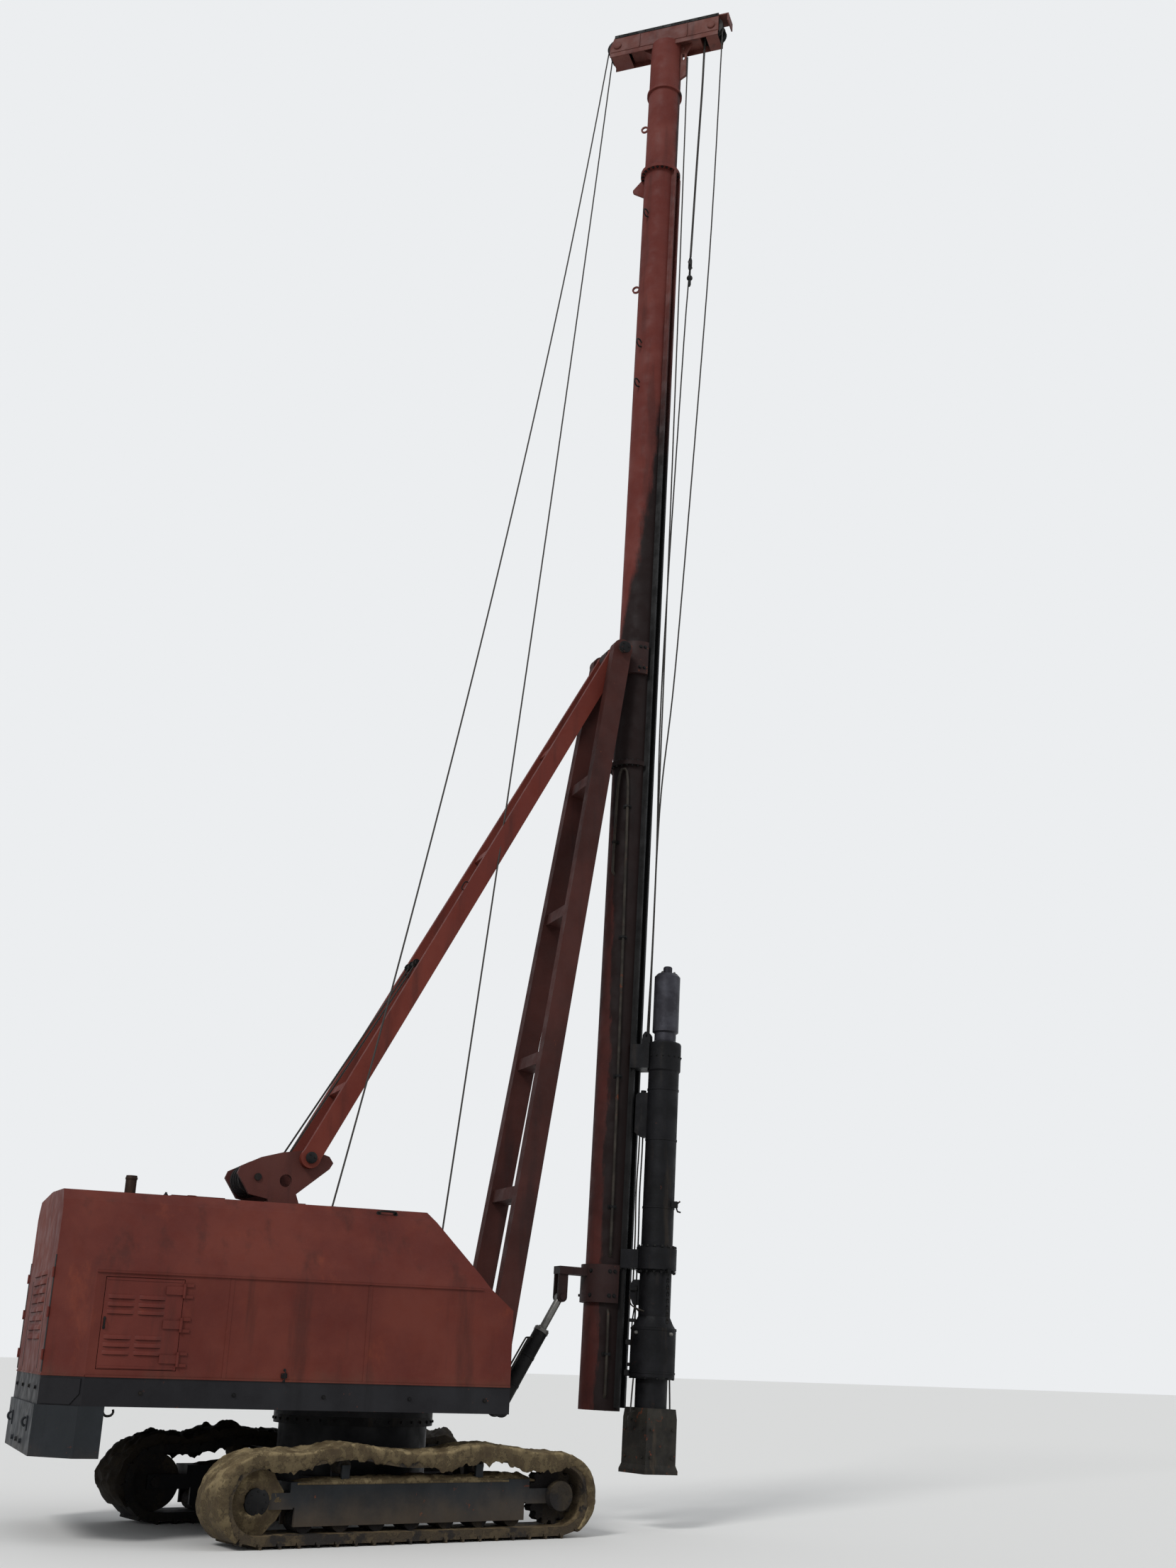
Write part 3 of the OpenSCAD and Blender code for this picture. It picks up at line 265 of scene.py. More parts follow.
def leader_soot(f):
    """Soot and grease on the hammer's side of the leader, wider the lower it is."""
    x = f.along(MAST_X, LEADER_BASE)
    y = f.along(MAST_Y, LEADER_BASE)
    z = f.along(MAST_Z, LEADER_BASE)
    angle = f.math("ABSOLUTE", f.math("ARCTAN2", y, x))
    # Half of the sooty arc in radians at a height, between the stops
    half = f.add("ValToRGB")
    f.put(half.inputs[0], f.math("DIVIDE", z, 23.0))
    ramp = half.color_ramp
    stops = [(1.2, 92), (5.0, 96), (7.5, 116), (9.6, 156), (11.4, 134), (12.6, 84), (14.2, 48), (16.0, 26), (18.0, 6), (22.4, 2)]
    while len(ramp.elements) < len(stops):
        ramp.elements.new(0.5)
    for element, (height, degrees) in zip(ramp.elements, stops):
        element.position = height / 23.0
        element.color = (degrees / 180, degrees / 180, degrees / 180, 1)
    edge = f.math("MULTIPLY", half.outputs[0], math.pi)
    wander = f.math("MULTIPLY", f.math("SUBTRACT", f.noise(2.6, 8, 0.75, stretch=(1, 1, 0.3)), 0.5), 1.6)
    side = f.math("MULTIPLY", f.window(f.math("SUBTRACT", angle, f.math("ADD", edge, wander)), 0.24, -0.24), 0.94)
    grime = f.math("MULTIPLY", f.window(z, 12.6, 9.6), f.window(f.noise(1.8, 5, 0.6, shift=(3, 3, 3)), 0.2, 0.8, 0.42, 0.78))
    return f.math("MAXIMUM", side, grime)


def rail_grease(f):
    """Grease on the rails, up to where the hammer seldom comes."""
    level = f.math("ADD", f.along(MAST_Z, LEADER_BASE), f.math("MULTIPLY", f.noise(2.0, 4, 0.6), 2.0))
    return f.window(level, 18.2, 14.8)


def greased(name, colour, sheen, rough_low, rough_high, rust=0.70, dusty=0.22, metallic=0.2, specular=0.22):
    """Black or bare steel with grease, soot, dust and rust in places."""
    f = Finish(name)
    blotch = f.noise(3.5, 6, 0.62)
    runs = f.noise(7, 4, 0.6, stretch=(1, 1, 0.15), shift=(2, 0, 0))
    tone = f.mix(f.window(blotch, 0.4, 0.62), colour, sheen)
    tone = f.mix(f.math("MULTIPLY", f.window(runs, 0.54, 0.75), dusty), tone, DUST)
    tone = f.mix(f.window(f.noise(9, 6, 0.7, shift=(6, 3, 1)), rust, rust + 0.05), tone, RUST)
    rough = f.window(f.noise(4.5, 5, 0.6, shift=(9, 1, 2)), 0.34, 0.66, rough_low, rough_high)
    f.bump((f.noise(22, 5, 0.65), 0.0022), (blotch, 0.004))
    return f.surface(tone, rough, Metallic=metallic, Specular_IOR_Level=specular)


def caked(name, wet, dry, steel, coverage):
    """Track steel caked with clay, with painted shade on the clay's sides; coverage is the share of clay."""
    f = Finish(name)
    lumps = f.noise(6, 8, 0.68)
    cover = f.window(f.noise(3.1, 6, 0.66, shift=(3, 3, 0)), 0.78 - coverage * 0.6, 0.84 - coverage * 0.6)
    mud = f.mix(f.window(lumps, 0.36, 0.62), wet, dry)
    mud = f.mix(f.math("MULTIPLY", f.window(f.noise(38, 4, 0.6), 0.5, 0.7), 0.35), mud, wet)
    # Painted shade: faces that turn away from upwards are darkened towards the steel colour.
    normal_for_side_shade = f.add("SeparateXYZ")
    f.put(normal_for_side_shade.inputs[0], f.add("TexCoord").outputs["Normal"])
    side = f.window(normal_for_side_shade.outputs["Z"], 0.75, 0.0)
    mud = f.mix(f.math("MULTIPLY", side, 0.62), mud, steel)
    fissure = f.window(f.math("ABSOLUTE", f.math("SUBTRACT", lumps, 0.5)), 0.014, 0.0)
    mud = f.mix(f.math("MULTIPLY", fissure, 0.75), mud, srgb(24, 19, 14))
    rough = f.window(lumps, 0.3, 0.6, 0.72, 0.96)
    f.bump((lumps, 0.020), (f.noise(55, 4, 0.7), 0.004))
    return f.surface(f.mix(cover, steel, mud), rough, Specular_IOR_Level=0.25)


def plain(name, colour, other, roughness, scale=6.0, metallic=0.0, bump=0.001):
    """A quiet surface with a little variation, such as a seat cover or rubber."""
    f = Finish(name)
    cloud = f.noise(scale, 5, 0.6)
    f.bump((f.noise(scale * 9, 4, 0.6), bump))
    return f.surface(f.mix(f.window(cloud, 0.35, 0.65), colour, other),
                     f.window(cloud, 0.3, 0.7, roughness - 0.08, roughness + 0.08), Metallic=metallic)


def glass(name):
    f = Finish(name)
    grime = f.window(f.noise(2.2, 4, 0.5), 0.50, 0.86)
    f.bump((f.noise(0.9, 1), 0.0006))
    return f.surface(f.mix(grime, srgb(190, 206, 206), srgb(150, 150, 140)),
                     f.window(grime, 0.0, 1.0, 0.03, 0.22), Transmission_Weight=0.86, IOR=1.45)


def rope_finish(name):
    """Wire rope: strands that wind round it, drawn from the twist that each rope's mesh carries."""
    f = Finish(name)
    twist = f.add("Attribute", attribute_name="lay").outputs["Fac"]
    strand = f.math("ABSOLUTE", f.math("SINE", twist))
    colour = f.mix(f.window(strand, 0.1, 0.8), srgb(20, 19, 19), srgb(58, 54, 50))
    f.bump((strand, 0.0015))
    return f.surface(colour, f.window(strand, 0, 1, 0.7, 0.45), Metallic=0.4)


HOUSE = painted("house_red", srgb(84, 34, 27), srgb(97, 44, 34), srgb(58, 28, 23), chips=0.70, mud_top=1.62,
                gloss=0.58, dent=0.016, rusty=0.5)
DOOR = painted("door_red", srgb(88, 36, 29), srgb(101, 46, 37), srgb(62, 30, 25), chips=0.71, mud_top=1.56,
               dent=0.014, rusty=0.35)
# The boom's paint is darker than the backstay's: partly soot, partly painted shade.
BOOM = painted("boom_red", srgb(52, 24, 20), srgb(66, 32, 27), srgb(31, 18, 17), gloss=0.6, dent=0.004)
STAY = painted("stay_red", srgb(90, 34, 25), srgb(102, 44, 33), srgb(52, 25, 21), gloss=0.56, dent=0.004)
TUBE = painted("leader_red", srgb(90, 37, 31), srgb(102, 49, 42), srgb(54, 27, 24), chips=0.68, gloss=0.64,
               dent=0.004, soot=leader_soot)
RAILS = painted("rail_red", srgb(80, 36, 31), srgb(98, 50, 43), srgb(44, 25, 23), chips=0.66, gloss=0.6, dent=0.003,
                soot=rail_grease)
HEAD = painted("head_red", srgb(84, 42, 37), srgb(100, 58, 50), srgb(48, 30, 28), chips=0.64, gloss=0.56, dent=0.004)
COLLAR = painted("collar_red", srgb(34, 21, 20), srgb(46, 27, 25), srgb(20, 15, 15), chips=0.62, gloss=0.56, dent=0.003)
GANTRY = painted("gantry_red", srgb(68, 34, 31), srgb(82, 44, 38), srgb(38, 24, 24), chips=0.62, gloss=0.56, dent=0.003)
BASE = painted("frame_grey", srgb(22, 21, 24), srgb(32, 32, 35), srgb(15, 15, 17), chips=0.64, mud_top=1.16, dent=0.004)
WEIGHT = painted("weight_grey", srgb(30, 33, 36), srgb(41, 44, 48), srgb(21, 22, 25), chips=0.64, mud_top=0.88,
                 dent=0.010)
# A darker copy of the frame paint for the carbody under the house and the far track frame: painted shade.
UNDER_SHADED = painted("under_frame_in_painted_shade", srgb(16, 16, 18), srgb(25, 25, 27), srgb(12, 12, 13), chips=0.66, dent=0.004)
SIDE_FRAME = painted("side_frame_grey", srgb(24, 27, 30), srgb(35, 38, 41), srgb(18, 19, 22), chips=0.64, mud_top=0.52,
                     dent=0.004)
HAMMER_STEEL = greased("hammer_black", srgb(10, 10, 12), srgb(18, 18, 21), 0.46, 0.70, rust=0.68, dusty=0.16)
RAM_STEEL = greased("ram_steel", srgb(48, 47, 52), srgb(64, 64, 70), 0.30, 0.46, rust=0.74, dusty=0.12, metallic=0.5)
BLACK = greased("black_steel", srgb(14, 14, 15), srgb(24, 23, 23), 0.5, 0.74, rust=0.66)
HELMET = greased("helmet_steel", srgb(33, 31, 28), srgb(46, 43, 38), 0.55, 0.8, rust=0.60, dusty=0.40)
STEEL = greased("bare_steel", srgb(96, 94, 90), srgb(124, 122, 118), 0.32, 0.54, rust=0.66, metallic=0.7, specular=0.5)
PIPE = greased("pipe_grey", srgb(38, 34, 30), srgb(56, 51, 45), 0.5, 0.7, rust=0.62)
EXHAUST = greased("exhaust_rust", srgb(50, 33, 27), srgb(34, 25, 22), 0.6, 0.85, rust=0.52)
# The left track's clay and the clay under the house are darker copies of the other clay: painted shade of the far side
# and of the house above.
TRACK = caked("track_clay", srgb(74, 61, 42), srgb(112, 96, 70), srgb(38, 34, 31), 0.60)
TRACK_FAR = caked("track_clay_dark", srgb(30, 25, 19), srgb(46, 40, 30), srgb(22, 20, 19), 0.50)
WHEELS = caked("wheel_clay", srgb(46, 39, 29), srgb(74, 64, 48), srgb(32, 29, 28), 0.50)
MUD = caked("clay", srgb(84, 70, 48), srgb(140, 124, 92), srgb(48, 38, 26), 1.0)
MUD_SHADED = caked("clay_in_painted_shade", srgb(34, 28, 21), srgb(54, 46, 34), srgb(30, 25, 19), 1.0)
CAB = plain("cab_lining", srgb(88, 86, 80), srgb(104, 100, 92), 0.62)
ENGINE = plain("engine_green", srgb(52, 62, 54), srgb(40, 44, 40), 0.5, metallic=0.1)
SEAT = plain("seat_cover", srgb(30, 30, 32), srgb(46, 45, 45), 0.6, scale=14, bump=0.003)
RUBBER = plain("hose_rubber", srgb(20, 20, 21), srgb(32, 31, 30), 0.62, scale=20)
DIAL = plain("dial_face", srgb(214, 210, 200), srgb(196, 192, 180), 0.4, scale=30, bump=0.0003)
ROPE = rope_finish("wire_rope")
GLASS = glass("window_glass")

FINISHES = {
    HOUSE: ["house_right", "house_left", "house_rear", "house_front", "house_roof"],
    DOOR: ["engine_door", "cab_door"],
    BOOM: ["boom"],
    STAY: ["backstay"],
    TUBE: ["leader_tube"],
    RAILS: ["guide_rails"],
    HEAD: ["leader_head"],
    COLLAR: ["head_collar", "foot_collar"],
    GANTRY: ["gantry"],
    BASE: ["deck", "strut_bracket"],
    WEIGHT: ["counterweight"],
    # The far track frame gets the darker frame paint, painted shade; the near one the lighter.
    UNDER_SHADED: ["carbody", "track_frame_left"],
    SIDE_FRAME: ["track_frame_right"],
    TRACK: ["track_right"],
    TRACK_FAR: ["track_left"],
    WHEELS: ["track_wheels"],
    HAMMER_STEEL: ["hammer_cylinder", "hammer_tank", "hammer_guides", "anvil_block"],
    RAM_STEEL: ["ram"],
    HELMET: ["pile_helmet"],
    BLACK: ["slew_ring", "front_sheaves", "rear_sheaves", "strut_barrel", "gantry_sheaves"],
    STEEL: ["head_pin", "strut_rod"],
    EXHAUST: ["exhaust_pipe"],
    CAB: ["cab_partition", "control_stand"],
    SEAT: ["operator_seat"],
    ENGINE: ["engine_block", "winch_block"],
    GLASS: ["cab_glass", "door_glass"],
}
for finish, names in FINISHES.items():
    for name in names:
        mesh = NODES[name].data
        mesh.materials.clear()
        mesh.materials.append(finish)

# Mesh helpers


def piece(name, bm, material, body, smooth_deg=32):
    """The mesh as an object that rides on a body."""
    bmesh.ops.recalc_face_normals(bm, faces=bm.faces)
    mesh = bpy.data.meshes.new(name)
    bm.to_mesh(mesh)
    bm.free()
    mesh.materials.append(material)
    mesh.shade_smooth()
    mesh.set_sharp_from_angle(angle=math.radians(smooth_deg))
    obj = bpy.data.objects.new(name, mesh)
    bpy.context.scene.collection.objects.link(obj)
    if body:
        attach(obj, body)
    return obj


@contextmanager
def forming(name, material, body, slot, smooth_deg=32):
    """Gathers forms into one mesh, which becomes a piece."""
    bm = bmesh.new()
    yield bm
    piece(name, bm, material, body, smooth_deg)


def soften(bm, edges, width):
    bmesh.ops.bevel(bm, geom=list(edges), offset=width, segments=2, affect="EDGES")


def add_box(bm, low, high, place=Matrix.Identity(4), soft=0.004):
    """A box with softened edges."""
    low, high = Vector(low), Vector(high)
    made = bmesh.ops.create_cube(bm, size=1.0)["verts"]
    size, middle = high - low, (low + high) / 2
    for v in made:
        v.co = place @ (Vector(c * s for c, s in zip(v.co, size)) + middle)
    soften(bm, {e for v in made for e in v.link_edges}, min(soft, min(size) * 0.3))


def add_plate(bm, outline, t, place, soft=0.003):
    """A plate of thickness t, cut to an outline in the place's xy plane."""
    low = [bm.verts.new(place @ Vector((x, y, 0))) for x, y in outline]
    high = [bm.verts.new(place @ Vector((x, y, t))) for x, y in outline]
    n = len(outline)
    faces = [bm.faces.new(low), bm.faces.new(high)]
    faces += [bm.faces.new((low[i], low[(i + 1) % n], high[(i + 1) % n], high[i])) for i in range(n)]
    soften(bm, {e for f in faces for e in f.edges}, min(soft, t * 0.3))


def add_lathe(bm, profile, place, sides=24):
    """Turns a profile of (radius, height) points about the place's z axis."""
    rings = []
    for r, h in profile:
        rings.append([bm.verts.new(place @ Vector((r * math.cos(2 * math.pi * i / sides),
                                                   r * math.sin(2 * math.pi * i / sides), h)))
                      for i in range(sides)])
    for lower, upper in zip(rings, rings[1:]):
        for i in range(sides):
            bm.faces.new((lower[i], lower[(i + 1) % sides], upper[(i + 1) % sides], upper[i]))
    bm.faces.new(list(reversed(rings[0])))
    bm.faces.new(rings[-1])


def add_bolt(bm, place, size=0.024, height=0.014):
    """A hexagon head with its washer, standing on the place's z axis."""
    add_lathe(bm, [(size * 0.72, -0.002), (size * 0.72, 0.003), (size * 0.55, 0.003)], place, 12)
    add_lathe(bm, [(size * 0.5, 0.002), (size * 0.5, height * 0.85), (size * 0.42, height)], place, 6)


def facing(point, normal):
    """A place at point whose z axis points along normal, and its y axis upwards."""
    return Matrix.Translation(point) @ Vector(normal).to_track_quat("Z", "Y").to_matrix().to_4x4()


def smooth_path(points, step):
    """A smooth line through the points, with a point about every step."""
    points = [Vector(p) for p in points]
    ends = [points[0] * 2 - points[1], *points, points[-1] * 2 - points[-2]]
    out = []
    for a, b, c, d in zip(ends, ends[1:], ends[2:], ends[3:]):
        count = max(1, round((c - b).length / step))
        for i in range(count):
            t = i / count
            out.append(0.5 * ((2 * b) + (c - a) * t + (2 * a - 5 * b + 4 * c - d) * t * t
                              + (3 * b - a - 3 * c + d) * t * t * t))
    out.append(points[-1])
    return out


def add_tube(bm, path, r, sides=10, lay=None):
    """A round tube along the path. lay is the length of one turn of its strands."""
    twist = bm.verts.layers.float.get("lay") or bm.verts.layers.float.new("lay")
    path = [Vector(p) for p in path]
    tangents = [(path[min(i + 1, len(path) - 1)] - path[max(i - 1, 0)]).normalized() for i in range(len(path))]
    side = tangents[0].orthogonal().normalized()
    rings, length = [], 0.0
    for i, (p, t) in enumerate(zip(path, tangents)):
        side = (side - t * side.dot(t)).normalized()
        other = t.cross(side)
        if i:
            length += (p - path[i - 1]).length
        ring = []
        for k in range(sides):
            a = 2 * math.pi * k / sides
            v = bm.verts.new(p + (side * math.cos(a) + other * math.sin(a)) * r)
            v[twist] = 3 * a + (2 * math.pi * 3 * length / lay if lay else 0)
            ring.append(v)
        rings.append(ring)
    for lower, upper in zip(rings, rings[1:]):
        for k in range(sides):
            bm.faces.new((lower[k], lower[(k + 1) % sides], upper[(k + 1) % sides], upper[k]))
    bm.faces.new(list(reversed(rings[0])))
    bm.faces.new(rings[-1])


def spaced(a, b, step):
    """Points from a to b, one about every step."""
    a, b = Vector(a), Vector(b)
    count = max(1, round((b - a).length / step))
    return [a.lerp(b, i / count) for i in range(count + 1)]


def arc(centre, along, up, r, start, end, count=10):
    """Points of an arc in the plane of along and up, from start to end in degrees."""
    out = []
    for i in range(count + 1):
        a = math.radians(start + (end - start) * i / count)
        out.append(Vector(centre) + Vector(along) * (r * math.cos(a)) + Vector(up) * (r * math.sin(a)))
    return out


def add_loop(bm, corners, r, sides=8):
    """A closed frame of round bar through the corners."""
    corners = [Vector(c) for c in corners]
    path = []
    for i, c in enumerate(corners):
        before, after = corners[i - 1], corners[(i + 1) % len(corners)]
        for other in (before, after):
            path.append(c + (other - c).normalized() * min(0.05, (other - c).length * 0.3))
    add_tube(bm, [*path, path[0]], r, sides)


def add_handle(bm, a, b, out, r=0.010):
    """A grab handle from a to b that stands off along out."""
    a, b, out = Vector(a), Vector(b), Vector(out)
    inset = (b - a).normalized() * min(0.03, (b - a).length * 0.2)
    add_tube(bm, smooth_path([a, a + out * 0.7, a + out + inset, b + out - inset, b + out * 0.7, b], 0.02), r, 8)
    for p in (a, b):
        add_lathe(bm, [(r * 2.4, -0.003), (r * 2.4, 0.004), (r * 1.4, 0.007)], facing(p, out), 12)


def add_chain(bm, a, b, link=0.055, r=0.007):
    """Links from a to b, each turned a quarter from the last."""
    points = spaced(a, b, link * 0.72)
    run = (Vector(b) - Vector(a)).normalized()
    side = run.orthogonal().normalized()
    for i, p in enumerate(points):
        across = side if i % 2 else run.cross(side)
        ends = [arc(p + run * (s * link * 0.25), run * s, across, link * 0.24, -90, 90, 5) for s in (1, -1)]
        add_tube(bm, [*ends[0], *reversed(ends[1][:]), ends[0][0]] if i % 2 else [*ends[0], *reversed(ends[1]), ends[0][0]],
                 r, 6)


def add_hood(bm, place, w, h, out):
    """A pressed louvre that overhangs its slot: the place's x runs along the slot and z points out."""
    across, up = 10, 5
    grid = []
    for j in range(up + 1):
        a = math.radians(90 * j / up)
        row = []
        for i in range(across + 1):
            t = i / across
            edge = min(1, 7 * t, 7 * (1 - t)) ** 0.5
            row.append(bm.verts.new(place @ Vector(((t - 0.5) * w, h * math.sin(a), out * math.cos(a) * edge))))
        grid.append(row)
    base = [bm.verts.new(place @ Vector(((i / across - 0.5) * w, 0, -0.003))) for i in range(across + 1)]
    for lower, upper in zip([base, *grid], grid):
        for i in range(across):
            bm.faces.new((lower[i], lower[i + 1], upper[i + 1], upper[i]))
    bm.faces.new([*base, *[row[-1] for row in grid], *reversed(grid[-1][:-1]), *[row[0] for row in reversed(grid[:-1])]])


def rough_at(p, scale, octaves=4):
    """Fractal noise about 0, roughly -1 to 1."""
    return noise.fractal(Vector(p) * scale, 0.9, 2.1, octaves, noise_basis="PERLIN_ORIGINAL")


def add_loft(bm, rings):
    """A closed body through rings of points."""
    made = [[bm.verts.new(p) for p in ring] for ring in rings]
    n = len(made[0])
    for a, b in zip(made, made[1:]):
        for k in range(n):
            bm.faces.new((a[k], a[(k + 1) % n], b[(k + 1) % n], b[k]))
    bm.faces.new(list(reversed(made[0])))
    bm.faces.new(made[-1])


# Clay on the tracks


def on_track(s, off):
    """A point (x, z) of the track's loop, s along it from the middle of its top, off its plates."""
    over = abs(s) - TRACK_RUN
    if over < 0:
        rise = sum(HUMP_RISE * math.cos(math.pi / 2 * (s - h) / HUMP_HALF) ** 2 for h in HUMPS if abs(s - h) < HUMP_HALF)
        return s, AXLE_Z + PLATE_R + off + rise
    a = over / PLATE_R
    return math.copysign(TRACK_RUN + (PLATE_R + off) * math.sin(a), s), AXLE_Z + (PLATE_R + off) * math.cos(a)


def clay_crust(name, side, material, thick, lip, reach, step):
    """Clay that lies on a track's shoes and hangs over their outer edge in a ragged lip."""
    rings = []
    half = SHOE_W / 2
    columns = round(2 * reach / step)
    for i in range(columns + 1):
        s = -reach + 2 * reach * i / columns
        fade = min(1, (reach - abs(s)) / 0.25)
        at_end = min(1, max(0, (abs(s) - TRACK_RUN) / 0.3))
        hang = 0.5 + 0.45 * rough_at((s, 3 * side, 1), 2.6, 3) + 0.35 * rough_at((s, 8, side), 9, 4)
        drop = (lip[0] + lip[1] * max(0, hang)) * (1 - 0.45 * at_end) * fade
        ring = []
        for k in range(19):
            y = -half + 0.015 + (SHOE_W - 0.005) * k / 18
            deep = thick * (0.6 + 0.6 * rough_at((s, y, 2 * side), 2.4) + 0.4 * abs(rough_at((s, y, 7), 8, 5)))
            edge = min(1, 0.5 + 5 * min(y + half, half - y + 0.03))
            ring.append((y, RIB_H + fade * max(0.004, deep * edge)))
        out = 0.010 + 0.030 * abs(rough_at((s, 9, side), 7, 4))
        ring += [(half + out, RIB_H * 0.8), (half + out + 0.004, -drop * 0.4), (half + out * 0.8, -drop * 0.8),
                 (half + 0.002, -drop), (half - 0.012, -drop * 0.9), (half - 0.02, -0.012), (-half + 0.03, -0.012)]
        rings.append([])
        for y, off in ring:
            x, z = on_track(s, off)
            rings[-1].append(TRACKS @ Vector((x, side * (SHOE_Y + y), max(z, 0.02))))
    with forming(name, material, "undercarriage", "track_steel", 75) as bm:
        add_loft(bm, rings)


def heap(bm, middle, half_l, half_w, high, seed):
    """A low heap of clay, its foot sunk into what carries it."""
    rings = []
    for i in range(29):
        t = -1 + 2 * i / 28
        x = middle[0] + t * half_l
        ring = [(-half_w, -0.02)]
        for k in range(11):
            u = -1 + 0.2 * k
            z = high * max(0, 1 - t * t) ** 0.5 * (1 - u * u) ** 0.6
            z *= 0.75 + 0.5 * rough_at((x, u, seed), 3) + 0.2 * rough_at((x, u, seed), 11)
            ring.append((u * half_w, z))
        ring.append((half_w, -0.02))
        rings.append([TRACKS @ Vector((x, middle[1] + y, middle[2] + z)) for y, z in ring])
    add_loft(bm, rings)


clay_crust("clay_on_right_track", -1, MUD, 0.050, (0.030, 0.15), TRACK_RUN + 1.0, 0.020)
# The left track's crust takes the darker clay: painted shade.
clay_crust("clay_on_left_track", 1, MUD_SHADED, 0.135, (0.08, 0.18), TRACK_RUN + 0.85, 0.03)
with forming("clay_in_right_idler", MUD, "undercarriage", "track_steel", 75) as bm:
    # Clay packed between the rear wheel and the shoes' edges
    rings = []
    for i in range(13):
        t = i / 12
        ring = []
        for k in range(40):
            a = 2 * math.pi * k / 40
            flow = 0.30 + 0.03 * rough_at((math.cos(a), math.sin(a), 3), 2.2)
            r = 0.02 + (flow - 0.02) * t
            x, z = -TRACK_RUN + r * math.cos(a), AXLE_Z + r * math.sin(a)
            swell = 0.055 * (1 - t ** 3) + 0.075 * abs(rough_at((x, z, 5), 6, 5)) - 0.08 * max(0, rough_at((x, z, 9), 3.5))
            ring.append(TRACKS @ Vector((x, -SHOE_Y - 0.135 - max(0, swell) * (1 - 0.6 * t), z)))
        rings.append(ring)
    back = [TRACKS @ Vector((-TRACK_RUN + 0.29 * math.cos(2 * math.pi * k / 40), -SHOE_Y - 0.10,
                             AXLE_Z + 0.29 * math.sin(2 * math.pi * k / 40))) for k in range(40)]
    add_loft(bm, [*rings, back])
with forming("clay_on_right_frame", MUD, "undercarriage", "track_steel", 75) as bm:
    heap(bm, (-0.1, -SHOE_Y - 0.02, 0.585), 1.25, 0.15, 0.07, 1)
    heap(bm, (1.05, -SHOE_Y, 0.585), 0.45, 0.14, 0.09, 4)
# The darker clay here is painted shade under the house.
with forming("clay_under_house", MUD_SHADED, "undercarriage", "track_steel", 75) as bm:
    heap(bm, (0, SHOE_Y, 0.585), 1.3, 0.15, 0.09, 2)
    for x, seed in ((-0.64, 5), (0.64, 6)):
        for side in (-1, 1):
            heap(bm, (x, side * 0.98, 0.575), 0.14, 0.14, 0.07, seed + side)
with forming("drive_case_bolts", BLACK, "undercarriage", "track_steel") as bm:
    for side in (-1, 1):
        for end in (-1, 1):
            hub = TRACKS @ Vector((end * TRACK_RUN, side * (SHOE_Y + 0.165 + 0.012), AXLE_Z))
            outward = (TRACKS.to_3x3() @ Vector((0, side, 0))).normalized()
            place = facing(hub, outward)
            add_lathe(bm, [(0.13, -0.02), (0.13, 0.012), (0.115, 0.022), (0.05, 0.026)], place, 32)
            for i in range(8):
                a = 2 * math.pi * i / 8
                add_bolt(bm, place @ Matrix.Translation((0.098 * math.cos(a), 0.098 * math.sin(a), 0.018)), 0.022, 0.012)
with forming("slew_ring_bolts", BLACK, "undercarriage", "black_steel") as bm:
    for i in range(36):
        a = 2 * math.pi * i / 36
        out = Vector((math.cos(a), math.sin(a), 0))
        add_bolt(bm, facing(slew(0, 0, 1.125) + out * 0.879, out), 0.030, 0.016)

# House


def wall(x, y, z, normal):
    return facing(slew(x, y, z), normal)


RIGHT, LEFT, REAR, FRONT = (0, -1, 0), (0, 1, 0), (-1, 0, 0), (1, 0, 0)
SLOPE = Vector((1, 0, SLOPE_RUN)).normalized()
HATCH = (-3.08, -2.30, 1.59, 2.46)
hatch_mid = (HATCH[0] + HATCH[1]) / 2

with forming("door_louvres", DOOR, "engine_side_door", "door_paint", 50) as bm:
    for z in (1.725, 2.105):
        for row in range(3):
            for column in range(2):
                x = HATCH[0] + 0.05 + column * 0.30 + 0.125
                add_hood(bm, wall(x, -SIDE_Y, z + row * 0.072 + 0.004, RIGHT), 0.264, 0.042, 0.016)
with forming("door_edges", DOOR, "engine_side_door", "door_paint") as bm:
    for x0, x1, z0, z1 in ((HATCH[0] + 0.012, HATCH[1] - 0.03, HATCH[3] - 0.034, HATCH[3] - 0.012),
                           (HATCH[0] + 0.012, HATCH[1] - 0.03, HATCH[2] + 0.012, HATCH[2] + 0.034)):
        add_box(bm, (x0, -SIDE_Y - 0.005, z0), (x1, -SIDE_Y + 0.004, z1), SLEW, 0.003)
with forming("door_latch", BLACK, "engine_side_door", "bare_steel") as bm:
    add_box(bm, (HATCH[0] + 0.022, -SIDE_Y - 0.006, 1.96), (HATCH[0] + 0.042, -SIDE_Y + 0.004, 2.08), SLEW, 0.003)
    add_handle(bm, slew(HATCH[0] + 0.032, -SIDE_Y - 0.004, 1.98), slew(HATCH[0] + 0.032, -SIDE_Y - 0.004, 2.06),
               (0, -0.03, 0), 0.006)
with forming("rear_louvres", HOUSE, "upperstructure", "house_paint", 50) as bm:
    for side in (-1, 1):
        for row in range(8):
            add_hood(bm, wall(REAR_X, side * 0.30, 1.85 + row * 0.09 + 0.005, REAR), 0.538, 0.055, 0.020)
